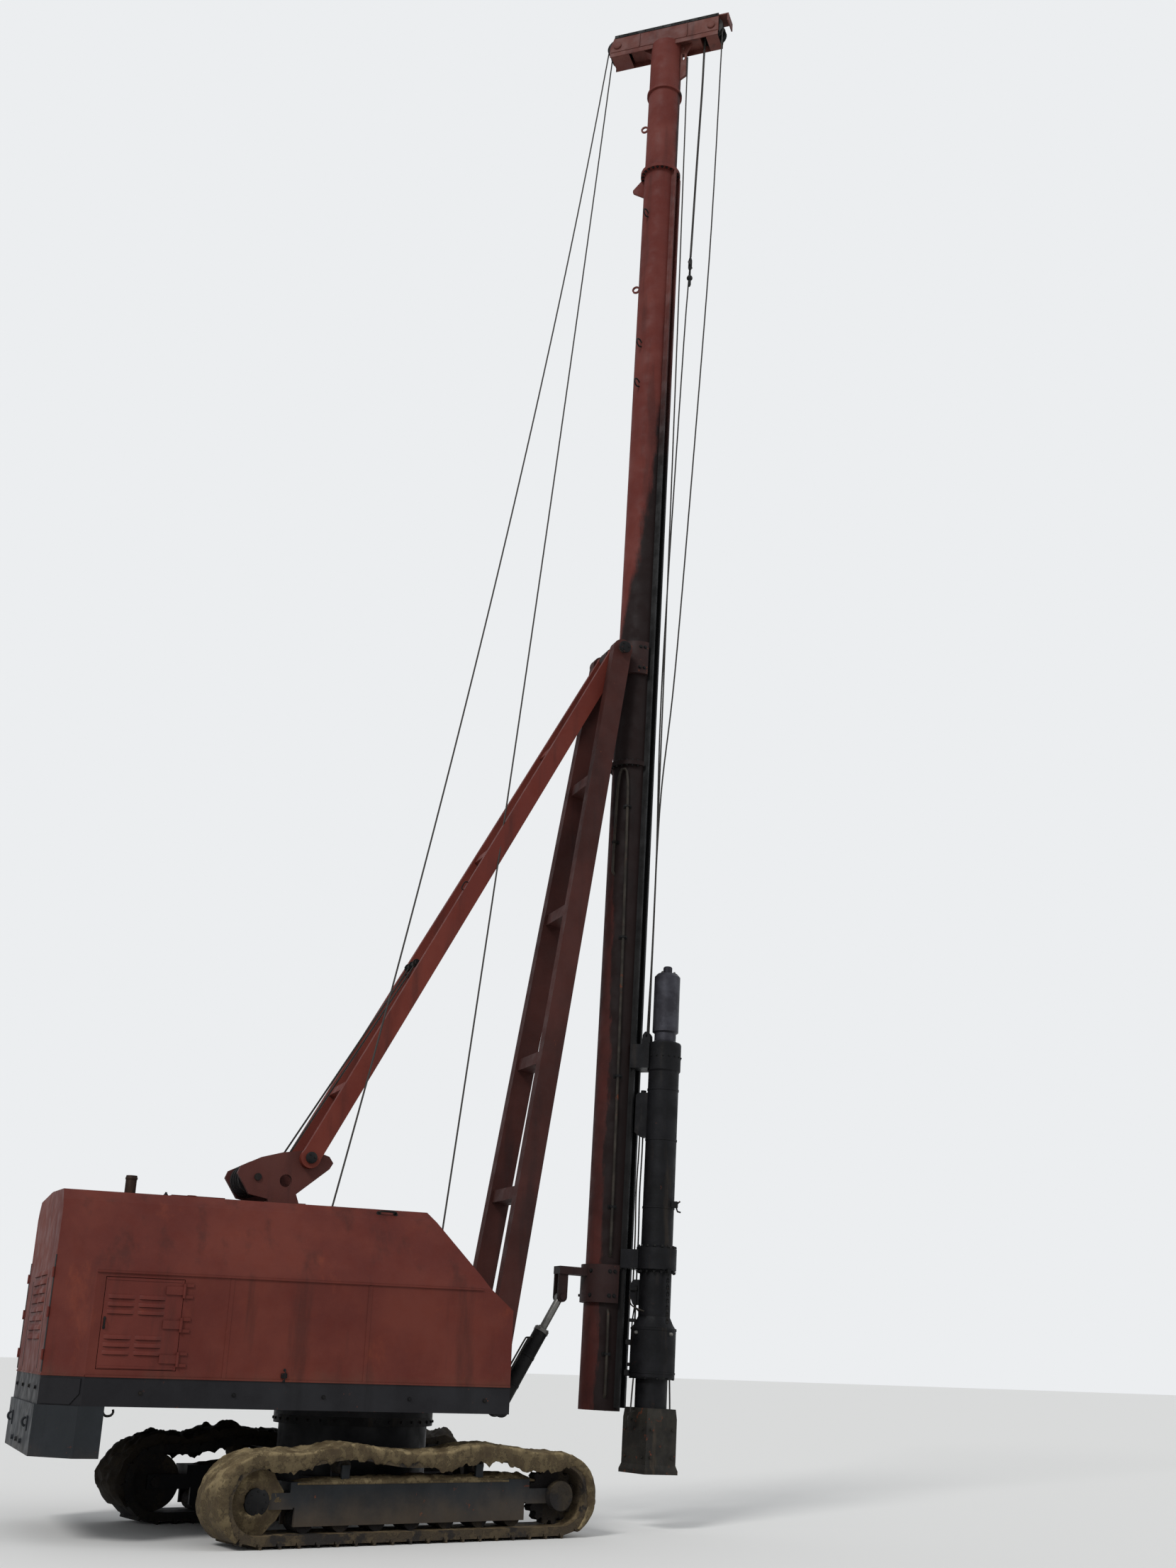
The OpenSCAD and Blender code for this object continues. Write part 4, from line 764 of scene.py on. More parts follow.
with forming("panel_strips", HOUSE, "upperstructure", "house_paint") as bm:
    # Flat strips over the joints of the side plates, and a sill where the house stands on the frame
    for side in (-1, 1):
        for x in ((-1.82, -0.36) if side < 0 else (-1.82, -1.02)):
            add_box(bm, (x - 0.022, side * SIDE_Y - 0.004, DECK_TOP), (x + 0.022, side * SIDE_Y + 0.004, DRIP_Z - 0.03),
                    SLEW, 0.002)
        add_box(bm, (CREASE_X, side * (SIDE_Y + 0.004) - 0.008, DECK_TOP - 0.004),
                ((FRONT_X if side < 0 else -1.0), side * (SIDE_Y + 0.004) + 0.008, DECK_TOP + 0.016), SLEW, 0.003)
    for x0, y0, x1, y1 in ((REAR_X, -CORNER_Y, CREASE_X, -SIDE_Y), (REAR_X, CORNER_Y, CREASE_X, SIDE_Y),
                           (REAR_X, -CORNER_Y, REAR_X, CORNER_Y)):
        a, b = slew(x0, y0, DECK_TOP + 0.006), slew(x1, y1, DECK_TOP + 0.006)
        add_tube(bm, [a, b], 0.010, 6)
with forming("rear_door_seams", RUBBER, "upperstructure", "black_steel") as bm:
    # The rear corner's seam, and that of the rear plate
    for side in (-1, 1):
        add_tube(bm, spaced(slew(REAR_X - 0.001, side * CORNER_Y, DECK_TOP + 0.03), slew(REAR_X - 0.001, side * CORNER_Y, 2.66), 0.4),
                 0.008, 6)
    for y in (-0.72, 0.72):
        add_box(bm, (REAR_X - 0.003, y - 0.007, DECK_TOP + 0.05), (REAR_X + 0.004, y + 0.007, 2.45), SLEW, 0.002)
with forming("rear_corner_hinges", DOOR, "upperstructure", "door_paint") as bm:
    for side in (-1, 1):
        for z in (1.66, 2.06, 2.44):
            place = Matrix.Translation(slew(REAR_X - 0.012, side * (CORNER_Y + 0.004), z))
            add_lathe(bm, [(0.008, 0), (0.013, 0.002), (0.013, 0.098), (0.008, 0.10)], place, 16)
            add_box(bm, (REAR_X - 0.006, side * (CORNER_Y - 0.035) - 0.035, z + 0.02),
                    (REAR_X + 0.004, side * (CORNER_Y - 0.035) + 0.035, z + 0.08), SLEW, 0.003)
with forming("side_latches", BLACK, "upperstructure", "black_steel") as bm:
    for side in (-1, 1):
        add_box(bm, (-1.24, side * (SIDE_Y + 0.012) - 0.016, 1.55), (-1.18, side * (SIDE_Y + 0.012) + 0.016, 1.60), SLEW)
        add_handle(bm, slew(-1.21, side * (SIDE_Y + 0.02), 1.52), slew(-1.21, side * (SIDE_Y + 0.02), 1.63), (0, side * 0.03, 0), 0.006)
        hook = [(-2.95, 0.02), (-2.95, -0.05), (-2.92, -0.085), (-2.87, -0.08), (-2.85, -0.05), (-2.855, -0.025)]
        add_tube(bm, smooth_path([slew(x, side * 1.50, DECK_Z + z) for x, z in hook], 0.02), 0.012, 8)
with forming("frame_bolts", BLACK, "upperstructure", "frame_paint") as bm:
    for side in (-1, 1):
        for x in (-2.62, -1.70, -0.78, 0.14, 0.975):
            add_bolt(bm, wall(x, side * SIDE_Y, 1.38, (0, side, 0)), 0.032, 0.018)
    for y in (-0.9, -0.3, 0.3, 0.9):
        add_bolt(bm, wall(REAR_X, y, 1.40, REAR), 0.036, 0.02)
        add_bolt(bm, wall(FRONT_X, y * 0.7, 1.44, FRONT), 0.032, 0.018)
with forming("corner_plates", BASE, "upperstructure", "frame_paint") as bm:
    for side in (-1, 1):
        # A plate on the frame's cut corner, its lower front corner cut off
        place = wall((REAR_X + CREASE_X) / 2, side * (CORNER_Y + SIDE_Y) / 2, DECK_Z, (-1, side, 0))
        x = -side
        add_plate(bm, [(-0.24, 0.01), (0.24, 0.01), (0.24, 0.25), (-0.24, 0.25)] if side > 0 else
                  [(x * -0.23, 0.01), (x * 0.13, 0.01), (x * 0.23, 0.11), (x * 0.23, 0.25), (x * -0.23, 0.25)], 0.010, place)
with forming("weight_fittings", WEIGHT, "upperstructure", "frame_paint") as bm:
    for y in (-0.75, 0.75):
        place = wall(REAR_X - 0.025, y, 1.06, REAR)
        add_plate(bm, [(-0.07, -0.07), (0.07, -0.07), (0.07, 0.07), (-0.07, 0.07)], 0.012, place)
        add_tube(bm, [*arc(slew(REAR_X - 0.030, y, 1.075), (-1, 0, 0), (0, 0, 1), 0.042, -75, 75, 9)], 0.012, 8)
    for y in (-0.4, 0, 0.4):
        add_bolt(bm, wall(REAR_X - 0.025, y, 0.88, REAR), 0.05, 0.026)
with forming("roof_fittings", BLACK, "upperstructure", "black_steel") as bm:
    for side in (-1, 1):
        add_handle(bm, slew(-0.19, side * 1.065, 3.275), slew(0.0, side * 1.065, 3.275), (0, side * 0.035, 0.02), 0.011)
        add_lathe(bm, [(0.03, -0.01), (0.03, 0.015), (0.022, 0.03), (0.012, 0.045), (0.012, 0.055)],
                  Matrix.Translation(slew(-2.42, side * 0.5, 3.34)), 16)
with forming("roof_hatch", HOUSE, "upperstructure", "house_paint") as bm:
    add_box(bm, (-2.35, -0.42, ROOF_Z - 0.03), (-1.75, 0.42, ROOF_Z + 0.022), SLEW, 0.010)
    add_handle(bm, slew(-2.12, 0, ROOF_Z + 0.02), slew(-1.98, 0, ROOF_Z + 0.02), (0, 0, 0.035), 0.008)
with forming("exhaust_band", EXHAUST, "upperstructure", "black_steel") as bm:
    add_lathe(bm, [(0.064, -0.045), (0.066, -0.041), (0.066, -0.022), (0.064, -0.018)],
              Matrix.Translation(slew(-2.73, 0, ROOF_Z + 0.232)), 28)


def slope_x(z):
    return SLOPE_FOOT_X - (z - DRIP_Z) * SLOPE_RUN


def door_y(z):
    """The cab door's outer face across the house, at a height."""
    return SIDE_Y + 0.053 if z < DRIP_Z else 1.543 - (z - 2.67) * 0.6403


with forming("window_gaskets", RUBBER, "upperstructure", "black_steel") as bm:
    for x, y0, y1, z0, z1 in ((lambda z: FRONT_X, 0.23, 1.40, 1.83, 2.23), (slope_x, 0.23, 1.05, 2.60, 3.20)):
        add_loop(bm, [slew(x(z) + 0.004, y, z) for y, z in ((y0, z0), (y1, z0), (y1, z1), (y0, z1))], 0.011)
with forming("door_gaskets", RUBBER, "cab_sliding_door", "black_steel") as bm:
    for z0, z1 in ((1.98, 2.48), (2.70, 3.08)):
        add_loop(bm, [slew(x, door_y(z), z) for x, z in ((0.02, z0), (0.53, z0), (0.53, z1), (0.02, z1))], 0.010)
with forming("cab_door_handle", BLACK, "cab_sliding_door", "black_steel") as bm:
    add_handle(bm, slew(0.60, SIDE_Y + 0.05, 1.76), slew(0.60, SIDE_Y + 0.05, 1.94), (0, 0.045, 0), 0.009)
    for x in (0.0, 0.55):
        add_lathe(bm, [(0.02, 0), (0.034, 0.004), (0.034, 0.022), (0.02, 0.026)], wall(x, SIDE_Y + 0.05, 1.60, LEFT), 20)
with forming("cab_rails_and_step", BLACK, "upperstructure", "black_steel") as bm:
    add_handle(bm, slew(0.78, SIDE_Y, 1.72), slew(0.78, SIDE_Y, 2.40), (0, 0.07, 0), 0.013)
    add_handle(bm, slew(FRONT_X, 1.46, 1.62), slew(FRONT_X, 1.46, 2.10), (0.06, 0, 0), 0.012)
    for x in (0.08, 0.48):
        add_box(bm, (x - 0.02, SIDE_Y - 0.005, 1.27), (x + 0.02, SIDE_Y + 0.14, 1.30), SLEW, 0.003)
    for y in (0.03, 0.075, 0.12):
        add_box(bm, (0.05, SIDE_Y + y - 0.014, 1.298), (0.51, SIDE_Y + y + 0.014, 1.312), SLEW, 0.003)
with forming("wiper", BLACK, "upperstructure", "black_steel") as bm:
    pivot, tip = slew(slope_x(3.24) + 0.012, 0.62, 3.24), slew(slope_x(2.84) + 0.03, 0.76, 2.84)
    add_lathe(bm, [(0.026, -0.012), (0.026, 0.012), (0.012, 0.022)], facing(pivot, SLOPE), 16)
    add_tube(bm, [pivot + SLOPE * 0.014, tip], 0.006, 8)
    add_tube(bm, [slew(slope_x(3.06) + 0.024, 0.72, 3.06), slew(slope_x(2.66) + 0.024, 0.80, 2.66)], 0.008, 8)
with forming("roof_rope_bushes", BLACK, "upperstructure", "black_steel") as bm:
    for centre, normal, r in ((slew(-0.63, -0.72, 3.333), (0, 0, 1), 0.056), (slew(0.654, -0.72, 2.966), SLOPE, 0.062)):
        side = Vector(normal).orthogonal().normalized()
        stretch = 1.22 if r > 0.06 else 1.0
        up = Vector(normal).cross(Vector((0, 1, 0))).normalized() * stretch
        add_tube(bm, arc(centre, (0, 1, 0), up, r, 0, 360, 28), 0.009, 8)

# Operator's seat and levers

SEAT_AT = slew(0.18, 0.62, DECK_TOP)


def add_pad(bm, size, place, crown, seams=()):
    """A crowned cushion: a closed form whose sides pull in between its corners, with sewn channels across."""
    n = 14
    bmesh.ops.create_cube(bm, size=2.0)
    bmesh.ops.subdivide_edges(bm, edges=bm.edges[:], cuts=n, use_grid_fill=True)
    for v in bm.verts:
        x, y, z = v.co
        pull = 1 - 0.05 * (1 - abs(z)) ** 2
        swell = (1 - x ** 4) * (1 - y ** 4)
        flat = 0.72 + 0.28 * swell ** 0.5
        deep = sum(math.exp(-((x - s) / 0.055) ** 2) for s in seams) * 0.16 * max(0, z)
        z = z * flat + (crown * swell if z > 0 else 0) - deep
        side = 1 - 0.06 * (x * x * y * y)
        v.co = place @ Vector((x * size[0] / 2 * side * pull, y * size[1] / 2 * side * pull, z * size[2] / 2))


def seat_part(name, build, material=SEAT):
    bm = bmesh.new()
    build(bm)
    part = piece(name, bm, material, "upperstructure", 55)
    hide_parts("operator_seat")


def seat_base(bm):
    at = Matrix.Translation(SEAT_AT)
    add_lathe(bm, [(0.17, 0.0), (0.17, 0.012), (0.16, 0.02), (0.09, 0.03)]
              + [(0.088 - 0.016 * (i % 2), 0.05 + 0.021 * i) for i in range(11)] + [(0.09, 0.28), (0.10, 0.29)], at, 32)
    add_box(bm, (-0.19, -0.19, 0.288), (0.19, 0.19, 0.332), at, 0.008)
    for y in (-0.14, 0.14):
        add_box(bm, (-0.262, y - 0.02, 0.31), (-0.246, y + 0.02, 0.72), at, 0.004)
        add_box(bm, (-0.262, y - 0.02, 0.306), (-0.1, y + 0.02, 0.318), at, 0.004)
    add_tube(bm, smooth_path([at @ Vector(p) for p in ((0.10, -0.19, 0.31), (0.12, -0.23, 0.31), (0.20, -0.235, 0.33))], 0.02),
             0.007, 8)


seat_part("seat_base", seat_base, BLACK)
seat_part("seat_cushion", lambda bm: add_pad(
    bm, (0.47, 0.48, 0.115), Matrix.Translation(SEAT_AT + Vector((0.005, 0, 0.386))), 0.34, (-0.42, 0.0, 0.42)))
seat_part("seat_back", lambda bm: add_pad(
    bm, (0.48, 0.46, 0.10), Matrix.Translation(SEAT_AT + Vector((-0.192, 0, 0.69))) @ Matrix.Rotation(math.radians(90), 4, "Y")
    @ Matrix.Rotation(math.radians(180), 4, "Z"), 0.30, (-0.45, 0.05, 0.52)))
with forming("lever_knobs", RUBBER, "upperstructure", "black_steel") as bm:
    for i in range(5):
        add_lathe(bm, [(0.010, -0.03), (0.013, -0.02), (0.020, -0.008), (0.025, 0.006), (0.024, 0.018), (0.016, 0.028), (0.004, 0.032)],
                  Matrix.Translation(slew(0.74, 0.46 + 0.08 * i, 2.40)), 20)
        add_lathe(bm, [(0.032, 0), (0.032, 0.004), (0.024, 0.012), (0.015, 0.03)], Matrix.Translation(slew(0.74, 0.46 + 0.08 * i, 2.14)), 20)
with forming("dials", DIAL, "upperstructure", "cab_interior") as bm:
    for i in range(3):
        add_lathe(bm, [(0.034, 0), (0.034, 0.005)], Matrix.Translation(slew(0.82, 0.52 + 0.1 * i, 2.14)), 28)
with forming("dial_rims", BLACK, "upperstructure", "black_steel") as bm:
    for i in range(3):
        centre = slew(0.82, 0.52 + 0.1 * i, 2.146)
        add_tube(bm, arc(centre, (1, 0, 0), (0, 1, 0), 0.036, 0, 360, 28), 0.004, 6)
        add_tube(bm, [centre, centre + Vector((0.018, 0.016, 0))], 0.0015, 5)

# Boom, backstay and the tackle that holds them

STAY_FOOT = slew(-0.85, 0, 3.88)
BOOM_FOOT = slew(1.42, 0, 1.36)
HEAD_PIN = CARRIER @ Vector((-0.39, 0, 10.985))
stay_run = (HEAD_PIN - STAY_FOOT)
stay_up = stay_run.cross(Vector((0, 1, 0))).normalized()
if stay_up.x > 0:
    stay_up = -stay_up
SHEAVES = slew(-1.41, 0, 3.64)
ANCHOR = STAY_FOOT + stay_run * 0.34 + stay_up * 0.10


def add_rope(bm, path, r=ROPE_R, lay=0.09, sides=8):
    add_tube(bm, path, r, sides, lay)


with forming("stay_tackle", ROPE, "upperstructure", "wire_rope", 60) as bm:
    for y in (-0.195, 0.195):
        centre, end = SHEAVES + Vector((0, y, 0)), ANCHOR + Vector((0, y * 0.62, 0))
        towards = (end - centre)
        towards.y = 0
        lead = math.degrees(math.atan2(towards.z, towards.x))
        rim = 0.165 + ROPE_R
        touch = lead - math.degrees(math.acos(rim / towards.length))
        leave = centre + Vector((math.cos(math.radians(touch)), 0, math.sin(math.radians(touch)))) * rim
        add_rope(bm, spaced(end, leave, 0.3)[:-1] + arc(centre, (1, 0, 0), (0, 0, 1), rim, touch, -268, 20)
                 + [slew(-1.10, y, 3.84)])
with forming("tackle_anchor", BLACK, "upperstructure", "black_steel") as bm:
    add_tube(bm, [ANCHOR + Vector((0, -0.20, 0)), ANCHOR + Vector((0, 0.20, 0))], 0.028, 16)
    for y in (-0.16, 0, 0.16):
        base = STAY_FOOT + stay_run * 0.345
        add_plate(bm, [(-0.05, -0.11), (0.05, -0.11), (0.05, 0.02), (0.02, 0.045), (-0.02, 0.045), (-0.05, 0.02)], 0.018,
                  Matrix.Translation(ANCHOR + Vector((0, y + 0.009, 0)))
                  @ Matrix((( *(-stay_run.normalized()), ), (*stay_up,), (0, 1, 0))).transposed().to_4x4())
with forming("pin_caps", BLACK, "upperstructure", "black_steel") as bm:
    for side in (-1, 1):
        for point, y, r in ((HEAD_PIN, 0.48, 0.085), (BOOM_FOOT, 0.62, 0.07), (STAY_FOOT, 0.49, 0.065)):
            place = facing(point + Vector((0, side * y, 0)), (0, side, 0))
            add_lathe(bm, [(r, -0.006), (r, 0.008), (r * 0.85, 0.014), (r * 0.3, 0.016)], place, 28)
            for i in range(3):
                a = 2 * math.pi * i / 3
                add_bolt(bm, place @ Matrix.Translation((r * 0.6 * math.cos(a), r * 0.6 * math.sin(a), 0.012)), 0.020, 0.012)
with forming("boom_welds", BOOM, "upperstructure", "leader_paint", 60) as bm:
    # Weld beads round the cross plates
    for foot, run, ya, yb, places, w, h in (
            (BOOM_FOOT, HEAD_PIN - BOOM_FOOT, 0.5, 0.34, (0.07, 0.24, 0.41, 0.61, 0.80), 0.26, 0.15),
            (STAY_FOOT, stay_run, 0.42, 0.185, (0.12, 0.34, 0.56, 0.78), 0.21, 0.11)):
        out = run.cross(Vector((0, 1, 0))).normalized()
        for s in places:
            at = foot + run * s
            for side in (-1, 1):
                y = side * (ya + s * (yb - ya) - (0.07 if w > 0.25 else 0.045))
                for edge in (-1, 1):
                    p = at + Vector((0, y, 0)) + run.normalized() * (edge * h / 2)
                    add_tube(bm, [p - out * w * 0.35, p + out * w * 0.35], 0.007, 6)
with forming("stay_bracket", BLACK, "upperstructure", "black_steel") as bm:
    at = STAY_FOOT + stay_run * 0.475 + stay_up * 0.105 + Vector((0, -0.308, 0))
    add_tube(bm, smooth_path([at - stay_up * 0.02, at + stay_up * 0.03, at + stay_up * 0.035 + stay_run * 0.012, at + stay_run * 0.015 - stay_up * 0.02],
                             0.015), 0.008, 8)

# Ropes over the head: each comes up from the house, runs over the head and drops to the hammer

groove = SHEAVE_GROOVE_R + ROPE_R
PIN_LEVEL = _on_axis.z
LUG_Z = 5.78
over_top = FRONT_PIN.z + groove
ROPES = (
    # name, entry, far end inside the house, sheave's y, sag on the way up, way down to the hammer
    ("a", slew(-0.63, -0.72, 3.33), 2.33, -SHEAVE_Y, 0.22,
     [(0.933, -0.20, 18.55), (0.853, -0.20, 15.98), (0.643, -0.20, 10.9), (0.50, -0.20, 8.7), (0.44, -0.06, LUG_Z)]),
    ("b", slew(0.654, -0.72, 2.964), 1.53, SHEAVE_Y, 0.06,
     [(0.636, 0.0, 21.7), (0.622, 0.015, 21.0), (0.53, 0.19, 19.7), (0.49, 0.19, 17.95), (0.47, 0.19, 17.4), (0.43, 0.19, 16.0),
      (0.33, 0.19, 10.9), (0.39, 0.10, 8.0), (0.40, 0.06, LUG_Z)]),
)


def rope(name, path, body, r=ROPE_R):
    bm = bmesh.new()
    add_rope(bm, path, r)
    return piece(name, bm, ROPE, body, smooth_deg=60)


def hang(obj, top):
    """Gives the rope its own copy of its mesh; top is not used."""
    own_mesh(obj)


def sagging(a, b, sag, start, end, step=0.35):
    """Points of a rope that sags between a and b, from the share start of the way to the share end."""
    run = b - a
    across = run.cross(Vector((0, 0, 1)).cross(run)).normalized()
    count = round(run.length * (end - start) / step)
    shares = [start + (end - start) * i / count for i in range(count + 1)]
    return [a + run * t - across * (4 * sag * t * (1 - t)) for t in shares]


for tag, entry, low_z, y, sag, way in ROPES:
    rear = mast(REAR_PIN.x, y, REAR_PIN.z)
    leave = rear - MAST_X * groove
    halfway = (PIN_LEVEL - entry.z) / (leave.z - entry.z)
    rise = sagging(entry, leave, sag, 0, halfway)
    inside = entry + (entry - rise[1]) * ((entry.z - low_z) / (rise[1].z - entry.z))
    lower = rope(f"hoist_rope_{tag}_low", spaced(inside, entry, 0.4)[:-1] + rise, None)
    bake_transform(lower)
    upper = rope(f"hoist_rope_{tag}_up", sagging(entry, leave, sag, halfway, 1), None)
    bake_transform(upper)
    over = arc(rear, MAST_X, MAST_Z, groove, 184, 90)
    if tag == "a":
        front = mast(FRONT_PIN.x, y, FRONT_PIN.z)
        over += spaced(rear + MAST_Z * groove, front + MAST_Z * groove, 0.3)[1:-1] + arc(front, MAST_X, MAST_Z, groove, 90, 0)
        top = mast(FRONT_PIN.x + groove, y, FRONT_PIN.z)
        down = smooth_path([top, *[mast(*p) for p in way]], 0.25)
        drop = rope(f"hoist_rope_{tag}_drop", down, "leader")
        hang(drop, FRONT_PIN.z)
    else:
        over += spaced(rear + MAST_Z * groove, mast(0.50, 0.012, over_top), 0.3)[1:]
        over += arc(mast(0.585, 0, over_top - 0.06), MAST_X, MAST_Z, 0.06, 84, 0, 6)
        top = mast(0.645, 0, over_top - 0.06)
        down = smooth_path([top, *[mast(*p) for p in way]], 0.25)
        joint_z = [(MAST.inverted() @ p).z for p in down]
        thick = [p for p, z in zip(down, joint_z) if z > 17.9]
        thin = [p for p, z in zip(down, joint_z) if z < 17.98]
        bm = bmesh.new()
        add_rope(bm, thick, 0.018)
        add_rope(bm, thin, ROPE_R)
        # Swivel with its cross bar, and the ball below it
        swivel = Matrix.Translation(mast(0.488, 0.19, 17.40)) @ MAST.to_3x3().to_4x4()
        add_lathe(bm, [(0.012, 0.0), (0.024, 0.03), (0.024, 0.10), (0.016, 0.12), (0.016, 0.30), (0.030, 0.34), (0.030, 0.48),
                       (0.014, 0.54)], swivel, 16)
        add_lathe(bm, [(0.012, 0.10)] + [(0.046 * math.sin(math.radians(t)), 0.155 - 0.046 * math.cos(math.radians(t)))
                                         for t in range(20, 180, 20)] + [(0.012, 0.21)], swivel, 20)
        add_tube(bm, [mast(0.488, 0.11, 17.80), mast(0.488, 0.27, 17.80)], 0.016, 10)
        drop = piece(f"hoist_rope_{tag}_drop", bm, ROPE, "leader", 60)
        hang(drop, (MAST.inverted() @ top).z)
    rope(f"hoist_rope_{tag}_over", over, "leader")

start_rope = rope("start_rope", smooth_path([mast(0.36, 0, 21.75), mast(0.40, 0, 14.5), mast(0.42, 0, 7.75), mast(0.40, 0, LUG_Z)], 0.3),
                  "leader")
hang(start_rope, 21.75)
with forming("rope_clamp", BLACK, "upperstructure", "black_steel") as bm:
    entry = ROPES[1][1]
    at = entry + (mast(REAR_PIN.x - groove, SHEAVE_Y, REAR_PIN.z) - entry).normalized() * 0.0
    add_lathe(bm, [(0.02, -0.01), (0.026, 0.0), (0.026, 0.03), (0.02, 0.036)], facing(at - SLOPE * 0.03, SLOPE), 16)

# Head of the leader

with forming("head_bands", BLACK, "leader", "black_steel") as bm:
    for side in (-1, 1):
        y = side * (HEAD_HALF + 0.003)
        add_box(bm, (HEAD_REAR + 0.075, y - 0.004, HEAD_Z + HEAD_H - 0.062), (HEAD_FRONT, y + 0.004, HEAD_Z + HEAD_H - 0.003), MAST, 0.002)
        for i in range(12):
            add_bolt(bm, MAST @ facing((-0.78 + i * 0.15, side * (HEAD_HALF + 0.006), HEAD_Z + HEAD_H - 0.032), (0, side, 0)), 0.018, 0.010)
with forming("sheave_pin_caps", HEAD, "leader", "leader_paint") as bm:
    for pin in (FRONT_PIN, REAR_PIN):
        for side in (-1, 1):
            place = MAST @ facing((pin.x, side * (HEAD_HALF + 0.024), pin.z), (0, side, 0))
            add_lathe(bm, [(0.066, -0.024), (0.066, -0.006), (0.052, 0.002), (0.02, 0.004)], place, 28)
            for i in range(4):
                a = 2 * math.pi * (i + 0.5) / 4
                add_bolt(bm, place @ Matrix.Translation((0.056 * math.cos(a), 0.056 * math.sin(a), -0.008)), 0.014, 0.010)
with forming("head_guide_roller", STEEL, "leader", "bare_steel") as bm:
    add_lathe(bm, [(0.046, -0.024), (0.052, -0.02), (0.047, -0.006), (0.047, 0.006), (0.052, 0.02), (0.046, 0.024)],
              MAST @ facing((0.585, 0, over_top - 0.06), (0, 1, 0)), 20)
with forming("head_ribs", HEAD, "leader", "leader_paint") as bm:
    for side in (-1, 1):
        for x in (-0.42, 0.38):
            add_box(bm, (x - 0.008, side * (HEAD_HALF + 0.008) - 0.012, HEAD_Z + 0.012), (x + 0.008, side * (HEAD_HALF + 0.008) + 0.012, HEAD_Z + 0.275),
                    MAST, 0.003)
        add_box(bm, (HEAD_REAR + 0.02, side * (HEAD_HALF + 0.003) - 0.005, HEAD_Z + 0.002),
                (HEAD_FRONT - 0.01, side * (HEAD_HALF + 0.003) + 0.005, HEAD_Z + 0.024), MAST, 0.002)

with forming("sheave_guards", HEAD, "leader", "leader_paint") as bm:
    # Cheeks under the head's sides, from its ends to the tube, and a plate below each pair of sheaves
    for x0, x1, floor in ((HEAD_REAR + 0.004, -0.19, (HEAD_REAR + 0.03, -0.60)), (0.19, HEAD_FRONT - 0.004, (0.70, 0.895))):
        for side in (-1, 1):
            y = side * (HEAD_HALF - 0.006)
            add_box(bm, (x0, y - 0.006, HEAD_Z - 0.085), (x1, y + 0.006, HEAD_Z + 0.02), MAST, 0.003)
        add_box(bm, (floor[0], -HEAD_HALF + 0.008, HEAD_Z - 0.086), (floor[1], HEAD_HALF - 0.008, HEAD_Z - 0.078), MAST, 0.002)

# Fittings on the leader's tube

PIN_Z = 10.985
with forming("leader_hooks", BLACK, "leader", "black_steel") as bm:
    for z in (18.57, 16.19, 15.49):
        foot = on_tube(-111, z)
        out = (foot - mast(0, 0, z)).normalized()
        ring = [foot, foot + out * 0.05 + MAST_Z * 0.03, foot + out * 0.10 + MAST_Z * 0.01, foot + out * 0.105 - MAST_Z * 0.05,
                foot + out * 0.06 - MAST_Z * 0.09, foot - MAST_Z * 0.07]
        add_tube(bm, smooth_path(ring, 0.02), 0.011, 8)
with forming("leader_pipes", PIPE, "leader", "black_steel", 60) as bm:
    r = TUBE_R + 0.035
    riser = [on_tube(-62, 3.02, TUBE_R - 0.01), on_tube(-62, 3.06, r), on_tube(-64, 4.6, r), on_tube(-68, 6.4, r), on_tube(-74, 8.4, r),
             on_tube(-78, 9.16, r), on_tube(-86, 9.33, r), on_tube(-96, 9.33, r), on_tube(-104, 9.16, r), on_tube(-107, 8.7, r),
             on_tube(-108, 7.9, r), on_tube(-108, 7.86, TUBE_R - 0.01)]
    add_tube(bm, smooth_path(riser, 0.07), 0.019, 10)
    low = [on_tube(-58, 1.42, TUBE_R - 0.01), on_tube(-58, 1.46, r), on_tube(-60, 2.36, r), on_tube(-60, 2.40, TUBE_R - 0.01)]
    add_tube(bm, smooth_path(low, 0.07), 0.019, 10)
with forming("pipe_clamps", BLACK, "leader", "black_steel") as bm:
    for angle, z in ((-59, 1.9), (-62.5, 3.6), (-65, 5.2), (-70, 7.0), (-76, 8.8), (-108, 8.3)):
        place = facing(on_tube(angle, z), on_tube(angle, z) - mast(0, 0, z))
        add_box(bm, (-0.055, -0.022, -0.004), (0.055, 0.022, 0.010), place, 0.003)
        add_box(bm, (-0.030, -0.020, 0.0), (0.030, 0.020, 0.060), place, 0.008)
        for x in (-0.043, 0.043):
            add_bolt(bm, place @ Matrix.Translation((x, 0, 0.010)), 0.016, 0.010)
with forming("ring_bolts", BLACK, "leader", "black_steel") as bm:
    for z, t, r, arc_from in ((PIN_Z - 1.585, 0.06, TUBE_R + 0.027, 50), (19.40, 0.06, TUBE_R + 0.032, 0)):
        for i in range(24):
            degrees = 15 * i + 7.5
            if arc_from < degrees < 360 - arc_from:
                size = 0.030 if r > 0.27 else 0.018
                for up in (-1, 1):
                    p = on_tube(degrees, z + (t if up > 0 else 0), r)
                    add_bolt(bm, facing(p, MAST_Z * up), size, size * 0.6)
with forming("collar_bolts", BLACK, "leader_carrier", "black_steel") as bm:
    for z in (10.83, 11.14, 2.56, 2.84):
        for degrees in (92, 104, -92, -104, 150, -150):
            a = math.radians(degrees)
            out = CARRIER.to_3x3() @ Vector((math.cos(a), math.sin(a), 0))
            add_bolt(bm, facing(CARRIER @ Vector((0, 0, z)) + out * 0.300, out), 0.036, 0.022)
